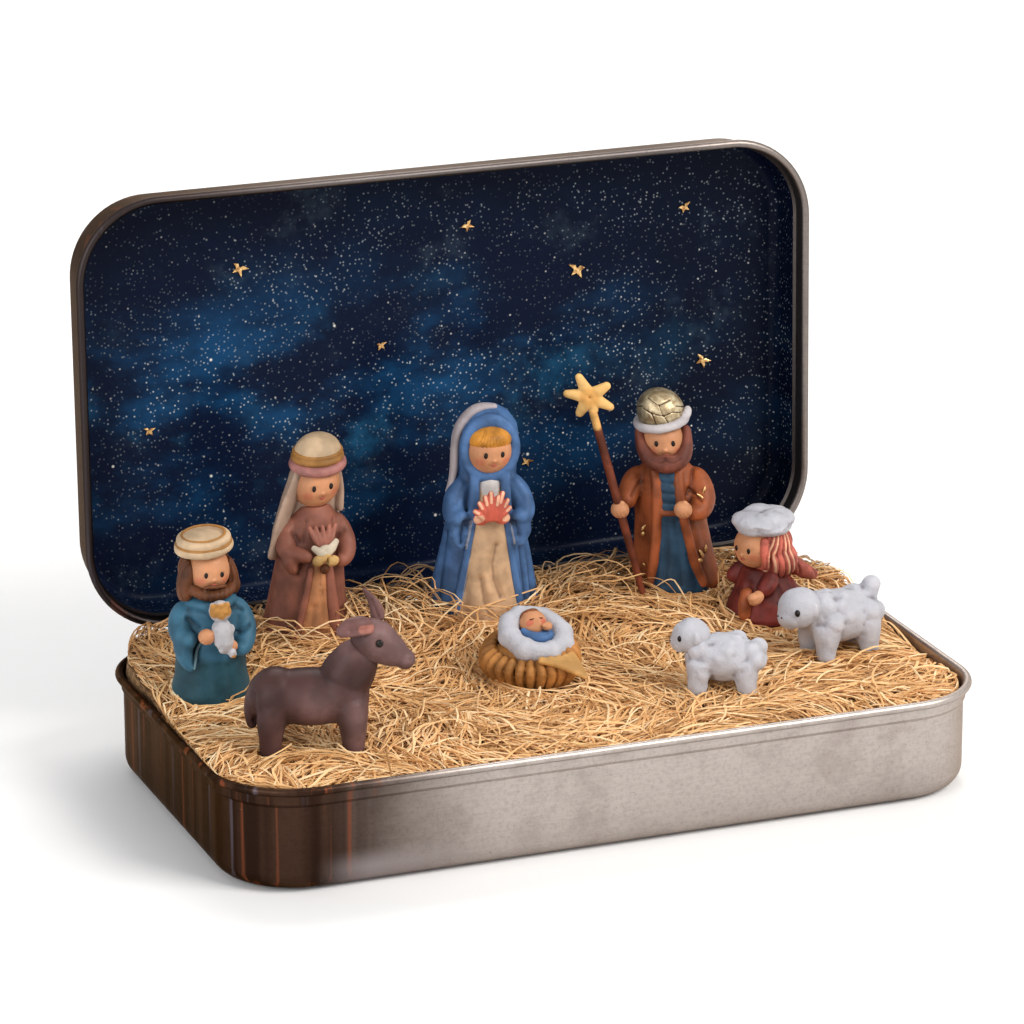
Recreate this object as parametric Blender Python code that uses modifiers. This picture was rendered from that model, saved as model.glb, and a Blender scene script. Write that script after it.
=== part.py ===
"""Pocket nativity tin: a hinged tinplate box with a bed of straw and nine small clay figures.

Metres, +Z up. The origin is the centre of the flat underside. +X runs along the long side, and +Y
points to the hinge. The lid stands open on its stop. Each figure stands in its own hollow in the
straw and lifts straight out.
"""
import math

import bmesh
import bpy
from mathutils import Matrix, Vector, geometry

# Tinplate box
TIN_LENGTH = 0.095
TIN_DEPTH = 0.0535
TIN_CORNER = 0.0105
TRAY_HEIGHT = 0.0128
LID_HEIGHT = 0.0076
TINPLATE = 0.0003
BOTTOM_RADIUS = 0.0022
PANEL_RADIUS = 0.0016
BEAD_RADIUS = 0.0005
BAND_HEIGHT = 0.0015
BAND_STEP = 0.00025
STEP_HEIGHT = 0.0004
CORNER_SEGMENTS = 5

# Hinge
LID_LEAN = 1.5
RIM_GAP = 0.0003
PIN_RADIUS = 0.00035
PIN_CLEARANCE = 0.00006
LEAF_THICKNESS = 0.0003
LEAF_WIDTH = 0.0105
LEAF_DROP = 0.0042
HINGE_TO_END = 0.0185
KNUCKLE_GAP = 0.0002
LID_KNUCKLE = 0.0038

# Straw
STRAW_LEVEL = 0.0122
STRAW_HEAP = 0.0030
HEAP_START = -0.006
HEAP_RUN = 0.024
STRAW_TUFT = 0.00025
STRAW_FALL = 0.0005
STRAW_SHOULDER = 14
STRAW_GAP = 0.0003
STRAW_POINTS = 36
STRAW_RINGS = (1.0, 0.93, 0.78, 0.56, 0.3)
FOOT_SINK = 0.0008
HOLLOW_HEIGHT = 0.0040

# Clay pieces
SEAT = 0.00015
HEM_STRAIGHT = 0.0014
HEM_LIP = 0.0003
HEM_DROP = 0.0003
PLEATS = 8
PLEAT_DEPTH = 0.035
GOWN_LEVELS = (0.35, 0.6, 0.8, 0.93, 1.0)
LARGE_BALL = (12, 7)
SMALL_BALL = (8, 6)
FLATNESS = math.radians(0.2)

# Shepherd with a lamb
SHEPHERD_TO_END = 0.0082
SHEPHERD_Y = 0.0062
SHEPHERD_TURN = -5.0
SHEPHERD_HEIGHT = 0.0125
SHEPHERD_HEM = 0.0044
SHEPHERD_SHOULDER = 0.0034
SHEPHERD_HEAD = 0.0029
SHEPHERD_HAIR = 0.0033
SHEPHERD_TURBAN = 0.0037
SHEPHERD_TURBAN_HEIGHT = 0.0040
SHEPHERD_SLEEVE = 0.0017
SHEPHERD_REACH = 0.0052
SHEPHERD_HAND = 0.0010
HELD_LAMB_LENGTH = 0.0048
HELD_LAMB_RADIUS = 0.0012
HELD_LAMB_HEAD = 0.0012

# Veiled figure with a gift
VEILED_TO_END = 0.0240
VEILED_TO_BACK = 0.00825
VEILED_TURN = 0.0
VEILED_LEAN = 0.085
VEILED_HEIGHT = 0.0165
VEILED_HEM = 0.0054
VEILED_SHOULDER = 0.0036
VEILED_HEAD = 0.0030
VEILED_BRIM = 0.0035
VEILED_BRIM_ROLL = 0.0008
VEILED_CAP = 0.0030
VEILED_CAP_HEIGHT = 0.0031
VEIL_LENGTH = 0.0115
VEIL_WIDTH = 0.0050
VEIL_FOLDS = 7
VEILED_SKIRT = 0.0026
VEILED_SLEEVE = 0.0014
VEILED_REACH = 0.0050
VEILED_GIFT = 0.0014

# Mother in a hooded mantle
MOTHER_X = -0.0003
MOTHER_TO_BACK = 0.00805
MOTHER_TURN = -12.0
MOTHER_LEAN = 0.025
MOTHER_HEIGHT = 0.0182
MOTHER_HEM = 0.0046
MOTHER_SHOULDER = 0.0030
MOTHER_HEAD = 0.0029
MOTHER_FRINGE = 0.00032
MANTLE_HEM = 0.0070
MANTLE_SHOULDER = 0.0050
HOOD_RADIUS = 0.0042
HOOD_HEIGHT = 0.0052
MOTHER_SLEEVE = 0.0015
MOTHER_REACH = 0.0049
MOTHER_HAND = 0.0012

# King with a star on a staff
KING_TO_END = 0.0222
KING_TO_BACK = 0.00805
KING_TURN = -22.0
KING_LEAN = -0.09
KING_HEIGHT = 0.0164
KING_HEM = 0.0044
KING_SHOULDER = 0.0030
COAT_HEM = 0.0056
COAT_SHOULDER = 0.0046
KING_HEAD = 0.0029
KING_BEARD = 0.0035
KING_CAP = 0.0031
KING_BRIM = 0.0031
KING_BRIM_ROLL = 0.0007
KING_SLEEVE = 0.0015
KING_HAND = 0.00115
STAFF_RADIUS = 0.00055
STAFF_FOOT = 0.0041
STAFF_LEAN = 10.0
STAFF_LENGTH = 0.0250
STAR_RADIUS = 0.0032
STAR_WAIST = 0.0013
STAR_THICKNESS = 0.0012
STAR_POINTS = 6

# Kneeling figure
KNEELER_TO_END = 0.0150
KNEELER_Y = 0.0075
KNEELER_TURN = -82.0
KNEELER_HEIGHT = 0.0066
KNEELER_HEM = 0.0047
KNEELER_SHOULDER = 0.0031
KNEELER_HEAD = 0.0030
KNEELER_CLOTH = 0.0034
BERET_RADIUS = 0.0039
BERET_HEIGHT = 0.0038
KNEELER_ARM = 0.0010
KNEELER_ARM_REACH = 0.0040
SCARF_LENGTH = 0.0072
SCARF_RADIUS = 0.0010

# Donkey
DONKEY_TO_END = 0.0143
DONKEY_TO_FRONT = 0.01425
DONKEY_TURN = 69.0
DONKEY_LENGTH = 0.0146
DONKEY_WIDTH = 0.0070
DONKEY_GIRTH = 0.0080
DONKEY_LEG = 0.0016
DONKEY_LEG_LENGTH = 0.0044
DONKEY_NECK = 0.0025
DONKEY_HEAD_LENGTH = 0.0080
DONKEY_HEAD_RADIUS = 0.0026
DONKEY_EAR = 0.0034

# Manger
MANGER_X = -0.0013
MANGER_Y = -0.0018
MANGER_TURN = -38.0
MANGER_LENGTH = 0.0145
MANGER_WIDTH = 0.0100
MANGER_HEIGHT = 0.0058
MANGER_RIBS = 14
MANGER_RIB_DEPTH = 0.05
SWADDLE_LENGTH = 0.0098
SWADDLE_WIDTH = 0.0080
SWADDLE_ROLL = 0.0017
BABY_HEAD = 0.0019

# Lambs
SMALL_LAMB_TO_END = 0.0294
SMALL_LAMB_TO_FRONT = 0.01485
SMALL_LAMB_TURN = -112.0
SMALL_LAMB_LENGTH = 0.0094
SMALL_LAMB_GIRTH = 0.0063
SMALL_LAMB_HEAD = 0.0026
SMALL_LAMB_LEG = 0.0012
LARGE_LAMB_TO_END = 0.0110
LARGE_LAMB_Y = -0.0050
LARGE_LAMB_TURN = -81.0
LARGE_LAMB_LENGTH = 0.0106
LARGE_LAMB_GIRTH = 0.0070
LARGE_LAMB_HEAD = 0.0029
LARGE_LAMB_LEG = 0.0013

# Derived places
BAND_INSET = 2 * BEAD_RADIUS - TINPLATE
WALL_INSET = BAND_INSET + BAND_STEP
BARREL_RADIUS = PIN_RADIUS + PIN_CLEARANCE + 0.5 * LEAF_THICKNESS
HINGE_OFFSET = BARREL_RADIUS + 0.5 * LEAF_THICKNESS + RIM_GAP
HINGE_Y = 0.5 * TIN_DEPTH + HINGE_OFFSET
HINGE_Z = TRAY_HEIGHT + 0.5 * RIM_GAP
STRAW_INSET = WALL_INSET + TINPLATE + STRAW_GAP
END_X = 0.5 * TIN_LENGTH
BACK_Y = 0.5 * TIN_DEPTH
SHEPHERD_PLACE = (SHEPHERD_TO_END - END_X, SHEPHERD_Y, SHEPHERD_TURN)
VEILED_PLACE = (VEILED_TO_END - END_X, BACK_Y - VEILED_TO_BACK, VEILED_TURN)
MOTHER_PLACE = (MOTHER_X, BACK_Y - MOTHER_TO_BACK, MOTHER_TURN)
KING_PLACE = (END_X - KING_TO_END, BACK_Y - KING_TO_BACK, KING_TURN)
KNEELER_PLACE = (END_X - KNEELER_TO_END, KNEELER_Y, KNEELER_TURN)
DONKEY_PLACE = (DONKEY_TO_END - END_X, DONKEY_TO_FRONT - BACK_Y, DONKEY_TURN)
MANGER_PLACE = (MANGER_X, MANGER_Y, MANGER_TURN)
SMALL_LAMB_PLACE = (END_X - SMALL_LAMB_TO_END, SMALL_LAMB_TO_FRONT - BACK_Y, SMALL_LAMB_TURN)
LARGE_LAMB_PLACE = (END_X - LARGE_LAMB_TO_END, LARGE_LAMB_Y, LARGE_LAMB_TURN)

for old in list(bpy.data.objects):
    bpy.data.objects.remove(old, do_unlink=True)

parts = bpy.data.collections.new("pocket_nativity_tin")
cutters = bpy.data.collections.new("cutters")
bpy.context.scene.collection.children.link(parts)
bpy.context.scene.collection.children.link(cutters)


def clay(name, colour, roughness=0.55, metallic=0.0):
    """A Principled material of one colour."""
    material = bpy.data.materials.new(name)
    material.use_nodes = True
    shader = material.node_tree.nodes["Principled BSDF"]
    shader.inputs["Base Color"].default_value = (*colour, 1.0)
    shader.inputs["Roughness"].default_value = roughness
    shader.inputs["Metallic"].default_value = metallic
    return material


def smooth(obj, angle=50.0):
    """Shades an object smooth and keeps its hard edges."""
    obj.data.shade_smooth()
    obj.data.set_sharp_from_angle(angle=math.radians(angle))


def place(name, mesh, material, parent=None):
    """Links a mesh as a named part under its figure's empty."""
    obj = bpy.data.objects.new(name, mesh)
    parts.objects.link(obj)
    obj.data.materials.append(material)
    obj.parent = parent
    smooth(obj)
    return obj


def station(name, x, y, z, turn=0.0, pitch=0.0):
    """An empty that carries one body, at its foot or on its hinge."""
    empty = bpy.data.objects.new(name, None)
    empty.location = (x, y, z)
    empty.rotation_euler = (math.radians(pitch), 0.0, math.radians(turn))
    empty.empty_display_size = 0.004
    parts.objects.link(empty)
    return empty


def lean_over(figure, slope):
    """Leans all that a figure is made of to its own right by a slope. Heights, and its flat foot, stay."""
    for piece in figure.children_recursive:
        piece.matrix_parent_inverse = Matrix.Shear("XY", 4, (slope, 0.0))


def hide_as_cutter(obj):
    """Moves a helper shape out of the parts."""
    for owner in list(obj.users_collection):
        owner.objects.unlink(obj)
    cutters.objects.link(obj)
    obj.hide_render = True
    obj.display_type = "WIRE"
    return obj


def boolean(obj, tool, operation):
    """Adds one exact boolean with a helper shape."""
    step = obj.modifiers.new(operation.lower(), "BOOLEAN")
    step.operation = operation
    step.solver = "EXACT"
    step.object = tool


def fuse(obj, *extras):
    """Joins extra shapes to a part so that they are one body."""
    for extra in extras:
        boolean(obj, hide_as_cutter(extra), "UNION")


def swollen(shape, gap):
    """A helper copy of a plain shape, grown by a gap along its normals."""
    copy = shape.copy()
    copy.data = shape.data.copy()
    copy.name = shape.name + "_room"
    cutters.objects.link(copy)
    hide_as_cutter(copy)
    for step in list(copy.modifiers):
        if step.type == "BOOLEAN":
            copy.modifiers.remove(step)
    grow = copy.modifiers.new("room", "DISPLACE")
    grow.strength = gap
    grow.mid_level = 0.0
    return copy


def seat(obj, *neighbours, gap=SEAT):
    """Hollows a part where neighbours, or shapes fused to them, press into it, with a gap all round."""
    for neighbour in neighbours:
        fused = [step.object for step in neighbour.modifiers
                 if step.type == "BOOLEAN" and step.operation == "UNION"]
        for shape in (neighbour, *fused):
            boolean(obj, swollen(shape, gap), "DIFFERENCE")


def skin(name, rings, material, parent=None, capped=True):
    """Skins a stack of closed rings of points, bottom to top, and closes the bottom, or both ends.

    Quads that aren't flat are split, and both ends get a centre point, which keeps the booleans exact.
    """
    bm = bmesh.new()
    loops = [[bm.verts.new(point) for point in ring] for ring in rings]
    for low, high in zip(loops, loops[1:]):
        for i in range(len(low)):
            j = (i + 1) % len(low)
            bm.faces.new((low[i], low[j], high[j], high[i]))
    ends = [bm.faces.new(reversed(loops[0]))]
    if capped:
        ends.append(bm.faces.new(loops[-1]))
        bmesh.ops.poke(bm, faces=ends)
    bmesh.ops.connect_verts_nonplanar(bm, angle_limit=FLATNESS, faces=bm.faces)
    mesh = bpy.data.meshes.new(name)
    bm.to_mesh(mesh)
    bm.free()
    return place(name, mesh, material, parent)


def oval(z, half_width, half_depth, count, centre=(0.0, 0.0), folds=0, depth=0.0):
    """One ring of a loft: an ellipse with shallow folds round it."""
    ring = []
    for i in range(count):
        angle = 2 * math.pi * i / count
        swell = 1 + depth * math.cos(folds * angle)
        x = centre[0] + half_width * swell * math.cos(angle)
        y = centre[1] + half_depth * swell * math.sin(angle)
        ring.append(Vector((x, y, z)))
    return ring


def blend(stops, t):
    """Reads a value at t from (position, value) stops, eased between them."""
    for (t0, v0), (t1, v1) in zip(stops, stops[1:]):
        if t <= t1:
            u = max(0.0, (t - t0) / (t1 - t0))
            return v0 + (v1 - v0) * u * u * (3 - 2 * u)
    return stops[-1][1]


def gown(name, figure, material, height, hem, shoulder, neck, flat=0.85, forward=0.0, waist=1.0, drop=0.0):
    """A standing pleated robe: straight at the hem where it sinks in the straw, drawn in to the neck."""
    stops = ((0.0, hem), (0.55, waist * shoulder), (0.84, shoulder), (1.0, neck))
    straight = HEM_STRAIGHT / height
    centre = (0.0, -forward)
    rings = [oval(-drop, hem - HEM_LIP, flat * (hem - HEM_LIP), 2 * PLEATS, centre)]
    for t in (HEM_LIP / height, straight, *GOWN_LEVELS):
        width = blend(stops, max(0.0, (t - straight) / (1 - straight)))
        rings.append(oval(t * height, width, flat * width, 2 * PLEATS, centre, PLEATS, PLEAT_DEPTH * (1 - t)))
    return skin(name, rings, material, figure)


def ball(name, centre, radii, material, parent=None, facets=LARGE_BALL, turn=None):
    """An ellipsoid from a UV sphere."""
    bm = bmesh.new()
    shape = Matrix.Translation(centre)
    if turn is not None:
        shape = shape @ Matrix.Rotation(math.radians(turn[0]), 4, turn[1])
    shape = shape @ Matrix.Diagonal((*radii, 1.0))
    bmesh.ops.create_uvsphere(bm, u_segments=facets[0], v_segments=facets[1], radius=1.0, matrix=shape)
    mesh = bpy.data.meshes.new(name)
    bm.to_mesh(mesh)
    bm.free()
    return place(name, mesh, material, parent)


def cone(name, foot, top, foot_radius, top_radius, material, parent=None, segments=8):
    """A tapered round bar between two points."""
    foot = Vector(foot)
    top = Vector(top)
    axis = top - foot
    shape = Matrix.Translation((foot + top) / 2) @ axis.to_track_quat("Z", "Y").to_matrix().to_4x4()
    bm = bmesh.new()
    bmesh.ops.create_cone(bm, cap_ends=True, segments=segments, radius1=foot_radius,
                          radius2=top_radius, depth=axis.length, matrix=shape)
    mesh = bpy.data.meshes.new(name)
    bm.to_mesh(mesh)
    bm.free()
    return place(name, mesh, material, parent)


def turned(name, profile, material, parent=None, centre=(0.0, 0.0, 0.0), tilt=(0.0, "X"), steps=12):
    """A profile of (radius, height) points at +X, top to bottom, spun by Screw."""
    bm = bmesh.new()
    verts = [bm.verts.new((radius, 0.0, z)) for radius, z in profile]
    for a, b in zip(verts, verts[1:]):
        bm.edges.new((a, b))
    mesh = bpy.data.meshes.new(name)
    bm.to_mesh(mesh)
    bm.free()
    obj = place(name, mesh, material, parent)
    spin = obj.modifiers.new("spin", "SCREW")
    spin.steps = steps
    spin.render_steps = steps
    spin.use_merge_vertices = True
    spin.merge_threshold = 0.00001
    obj.matrix_local = Matrix.Translation(centre) @ Matrix.Rotation(math.radians(tilt[0]), 4, tilt[1])
    return obj


def arc(centre, radius, start, end, count):
    """Points (across, up) along an arc, in degrees."""
    points = []
    for i in range(count + 1):
        angle = math.radians(start + (end - start) * i / count)
        points.append((centre[0] + radius * math.cos(angle), centre[1] + radius * math.sin(angle)))
    return points


def limb(name, points, radii, material, parent=None, sides=1):
    """A rolled sausage of clay along a smooth line, made a welded mesh so that it can be cut."""
    curve = bpy.data.curves.new(name, "CURVE")
    curve.dimensions = "3D"
    curve.bevel_depth = 1.0
    curve.bevel_resolution = sides
    curve.use_fill_caps = True
    curve.resolution_u = 2
    spline = curve.splines.new("BEZIER")
    spline.bezier_points.add(len(points) - 1)
    for knot, point, radius in zip(spline.bezier_points, points, radii):
        knot.co = point
        knot.radius = radius
        knot.handle_left_type = "AUTO"
        knot.handle_right_type = "AUTO"
    route = bpy.data.objects.new(name + "_route", curve)
    parts.objects.link(route)
    depsgraph = bpy.context.evaluated_depsgraph_get()
    mesh = bpy.data.meshes.new_from_object(route.evaluated_get(depsgraph))
    bpy.data.objects.remove(route)
    bm = bmesh.new()
    bm.from_mesh(mesh)
    bmesh.ops.remove_doubles(bm, verts=bm.verts, dist=0.00001)
    bmesh.ops.recalc_face_normals(bm, faces=bm.faces)
    if bm.calc_volume(signed=True) < 0:
        bmesh.ops.reverse_faces(bm, faces=bm.faces)
    bm.to_mesh(mesh)
    bm.free()
    mesh.name = name
    return place(name, mesh, material, parent)


def rounded_outline(inset, z, length=TIN_LENGTH, depth=TIN_DEPTH, corner=TIN_CORNER):
    """One ring of the box's rounded rectangle, drawn in by an inset."""
    half_x = 0.5 * length - inset
    half_y = 0.5 * depth - inset
    radius = corner - inset
    ring = []
    for quarter, (sx, sy) in enumerate(((1, 1), (-1, 1), (-1, -1), (1, -1))):
        for i in range(CORNER_SEGMENTS + 1):
            angle = math.radians(90 * quarter + 90 * i / CORNER_SEGMENTS)
            x = sx * (half_x - radius) + radius * math.cos(angle)
            y = sy * (half_y - radius) + radius * math.sin(angle)
            ring.append(Vector((x, y, z)))
    return ring


def pressed_shell(name, height, foot_radius, material, parent=None):
    """A drawn tinplate pan: flat panel, rounded foot, wall, stepped band and an outward curled bead.

    The rings follow the outer face of the sheet from the panel to the curled edge, and Solidify
    gives it its thickness inwards, which on the bead is away from the curl's centre.
    """
    step_z = height - 2 * BEAD_RADIUS - BAND_HEIGHT
    path = arc((WALL_INSET + foot_radius, foot_radius), foot_radius, 270, 180, 3)
    path.append((WALL_INSET, step_z))
    path.append((BAND_INSET, step_z + STEP_HEIGHT))
    path += arc((BEAD_RADIUS, height - BEAD_RADIUS), BEAD_RADIUS - TINPLATE, 0, 250, 5)
    rings = [rounded_outline(inset, z) for inset, z in path]
    shell = skin(name, rings, material, parent, capped=False)
    wall = shell.modifiers.new("tinplate", "SOLIDIFY")
    wall.thickness = TINPLATE
    wall.offset = -1.0
    wall.use_even_offset = True
    return shell


def bent_leaf(name, path, width, material, parent, centre_x):
    """A strip of sheet that follows a bent path of (y, z) points across its width."""
    bm = bmesh.new()
    rows = []
    for y, z in path:
        left = bm.verts.new((centre_x - 0.5 * width, y, z))
        right = bm.verts.new((centre_x + 0.5 * width, y, z))
        rows.append((left, right))
    for (a, b), (c, d) in zip(rows, rows[1:]):
        bm.faces.new((a, b, d, c))
    mesh = bpy.data.meshes.new(name)
    bm.to_mesh(mesh)
    bm.free()
    leaf = place(name, mesh, material, parent)
    sheet = leaf.modifiers.new("sheet", "SOLIDIFY")
    sheet.thickness = LEAF_THICKNESS
    sheet.offset = 0.0
    sheet.use_even_offset = True
    return leaf


def block(name, size, centre):
    """A plain box used as a cutter."""
    bm = bmesh.new()
    bmesh.ops.create_cube(bm, size=1.0, matrix=Matrix.Translation(centre) @ Matrix.Diagonal((*size, 1.0)))
    mesh = bpy.data.meshes.new(name)
    bm.to_mesh(mesh)
    bm.free()
    obj = bpy.data.objects.new(name, mesh)
    cutters.objects.link(obj)
    return hide_as_cutter(obj)


def spread(ring, count):
    """Walks a closed ring and returns evenly spaced points on it."""
    closed = ring + ring[:1]
    lengths = [(b - a).length for a, b in zip(closed, closed[1:])]
    pace = sum(lengths) / count
    points = []
    edge = 0
    walked = 0.0
    for i in range(count):
        while walked + lengths[edge] < i * pace:
            walked += lengths[edge]
            edge += 1
        share = (i * pace - walked) / lengths[edge]
        points.append(closed[edge].lerp(closed[edge + 1], share))
    return points


def straw_height(x, y):
    """Height of the straw's top: nearly level in front, heaped towards the lid, tufted all over."""
    rise = blend(((0.0, 0.0), (1.0, STRAW_HEAP)), (y - HEAP_START) / HEAP_RUN)
    tuft = STRAW_TUFT * math.sin(x / 0.0031) * math.cos(y / 0.0023 + x / 0.007)
    across = abs(x) / (0.5 * TIN_LENGTH - STRAW_INSET)
    along = abs(y) / (0.5 * TIN_DEPTH - STRAW_INSET)
    return STRAW_LEVEL + rise + tuft - STRAW_FALL * max(across, along) ** STRAW_SHOULDER


def stand(name, x, y, turn):
    """The empty under one figure, sunk a little into the straw."""
    return station(name, x, y, straw_height(x, y) - FOOT_SINK, turn)


def footprint(figure, *feet, gap=STRAW_GAP):
    """A straight-sided cutter round what one figure, or one leg, sets down in the straw."""
    low = [vertex.co for foot in feet for vertex in foot.data.vertices if vertex.co.z < 1.01 * HEM_STRAIGHT]
    points = [Vector((point.x, point.y)) for point in low]
    outline = [points[i] for i in geometry.convex_hull_2d(points)]
    centre = sum(outline, Vector((0.0, 0.0))) / len(outline)
    outline = [point + gap * (point - centre).normalized() for point in outline]
    floor = min(point.z for point in low) - gap
    rings = [[Vector((point.x, point.y, z)) for point in outline] for z in (floor, HOLLOW_HEIGHT)]
    return hide_as_cutter(skin(feet[0].name + "_footprint", rings, feet[0].data.materials[0], figure))


def build_straw(straw, footprints):
    """A bed of packed straw that fills the tray, with a hollow under each foot."""
    floor = TINPLATE + STRAW_GAP
    inner_radius = BOTTOM_RADIUS - TINPLATE
    rings = []
    for inset, z in arc((STRAW_INSET + inner_radius, floor + inner_radius), inner_radius, 270, 180, 2):
        rings.append(spread(rounded_outline(inset, z), STRAW_POINTS))
    edge = spread(rounded_outline(STRAW_INSET, 0.0), STRAW_POINTS)
    for share in STRAW_RINGS:
        top = [point * share for point in edge]
        rings.append([Vector((point.x, point.y, straw_height(point.x, point.y))) for point in top])
    bed = skin("straw_bed", rings, straw)
    for cutter in footprints:
        boolean(bed, cutter, "DIFFERENCE")
    return bed


def build_hinges(tin, steel, lid_frame):
    """Two strap hinges: a leaf on the tray and one on the lid, curled round the same pin."""
    knuckle_room = 2 * (BARREL_RADIUS + 0.5 * LEAF_THICKNESS + KNUCKLE_GAP)
    ear = 0.5 * (LEAF_WIDTH - LID_KNUCKLE)
    for side, label in ((-1, "left"), (1, "right")):
        x = side * (END_X - HINGE_TO_END)
        path = arc((HINGE_Y, HINGE_Z), BARREL_RADIUS, -60, 180, 7)
        path += leaf_tail(HINGE_Y, HINGE_Z, -1)
        leaf = bent_leaf("tray_hinge_leaf_" + label, path, LEAF_WIDTH, tin, None, x)
        room = (LID_KNUCKLE, knuckle_room, knuckle_room)
        boolean(leaf, block("lid_knuckle_room_" + label, room, (x, HINGE_Y, HINGE_Z)), "DIFFERENCE")

        path = arc((0.0, 0.0), BARREL_RADIUS, 60, -180, 7)
        path += leaf_tail(0.0, 0.0, 1)
        leaf = bent_leaf("lid_hinge_leaf_" + label, path, LEAF_WIDTH, tin, lid_frame, x)
        for end in (-1, 1):
            room = (ear + 2 * KNUCKLE_GAP, knuckle_room, knuckle_room)
            centre = (x + end * 0.5 * LEAF_WIDTH, 0.0, 0.0)
            cutter = block("tray_ear_room_" + label, (2 * room[0], *room[1:]), centre)
            cutter.parent = lid_frame
            boolean(leaf, cutter, "DIFFERENCE")

        reach = 0.5 * LEAF_WIDTH + KNUCKLE_GAP
        cone("hinge_pin_" + label, (x - reach, HINGE_Y, HINGE_Z), (x + reach, HINGE_Y, HINGE_Z),
             PIN_RADIUS, PIN_RADIUS, steel)


def leaf_tail(y, z, way):
    """The flat of a hinge leaf: past the bead and band, then in to the wall, up or down by way."""
    wall_y = y - HINGE_OFFSET - WALL_INSET + 0.5 * LEAF_THICKNESS + SEAT
    jog = 0.5 * RIM_GAP + 2 * BEAD_RADIUS + BAND_HEIGHT + 2 * STEP_HEIGHT
    return [(y - BARREL_RADIUS, z + way * jog), (wall_y, z + way * (jog + WALL_INSET)),
            (wall_y, z + way * LEAF_DROP)]


def build_lid(tin):
    """The lid pan, upside down over its hinge frame, swung open to rest on its stop."""
    frame = station("lid_hinge", 0.0, HINGE_Y, HINGE_Z, pitch=-(90.0 + LID_LEAN))
    shell = pressed_shell("lid_shell", LID_HEIGHT, PANEL_RADIUS, tin, frame)
    over = Matrix.Translation((0.0, -HINGE_Y, LID_HEIGHT + 0.5 * RIM_GAP))
    shell.data.transform(over @ Matrix.Rotation(math.pi, 4, "X"))
    return frame


def turban(name, radius, height, centre_z, material, figure):
    """A wound cloth cap of two soft rolls under a low crown."""
    shape = ((0.0, 1.0), (0.45, 0.97), (0.8, 0.84), (0.96, 0.66), (0.9, 0.5), (1.0, 0.32),
             (0.98, 0.12), (0.8, 0.0), (0.0, 0.0))
    profile = [(radius * across, height * up) for across, up in shape]
    return turned(name, profile, material, figure, centre=(0.0, 0.0, centre_z))


def disc(name, radius, roll, centre, material, figure, tilt=0.0):
    """A round-edged disc, which becomes a rolled brim once the head is pressed through it."""
    profile = [(0.0, roll)] + arc((radius - roll, 0.0), roll, 90, -90, 4) + [(0.0, -roll)]
    return turned(name, profile, material, figure, centre=centre, tilt=(tilt, "Y"))


def pair_of_arms(name, figure, material, shoulder, elbow, wrist, radii):
    """Left and right sleeves, mirrored, each from shoulder over elbow to wrist."""
    sleeves = []
    for side, label in ((-1, "left"), (1, "right")):
        points = [(side * x, y, z) for x, y, z in (shoulder, elbow, wrist)]
        sleeves.append(limb(name + "_sleeve_" + label, points, radii, material, figure))
    return sleeves


def beard_mass(figure, radius, head_z, material):
    """The round of a beard, which the face is pressed into."""
    return ball("beard_mass", (0.0, -0.42 * radius, head_z - 0.42 * radius),
                (0.9 * radius, 0.62 * radius, 0.56 * radius), material, figure, SMALL_BALL)


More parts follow.
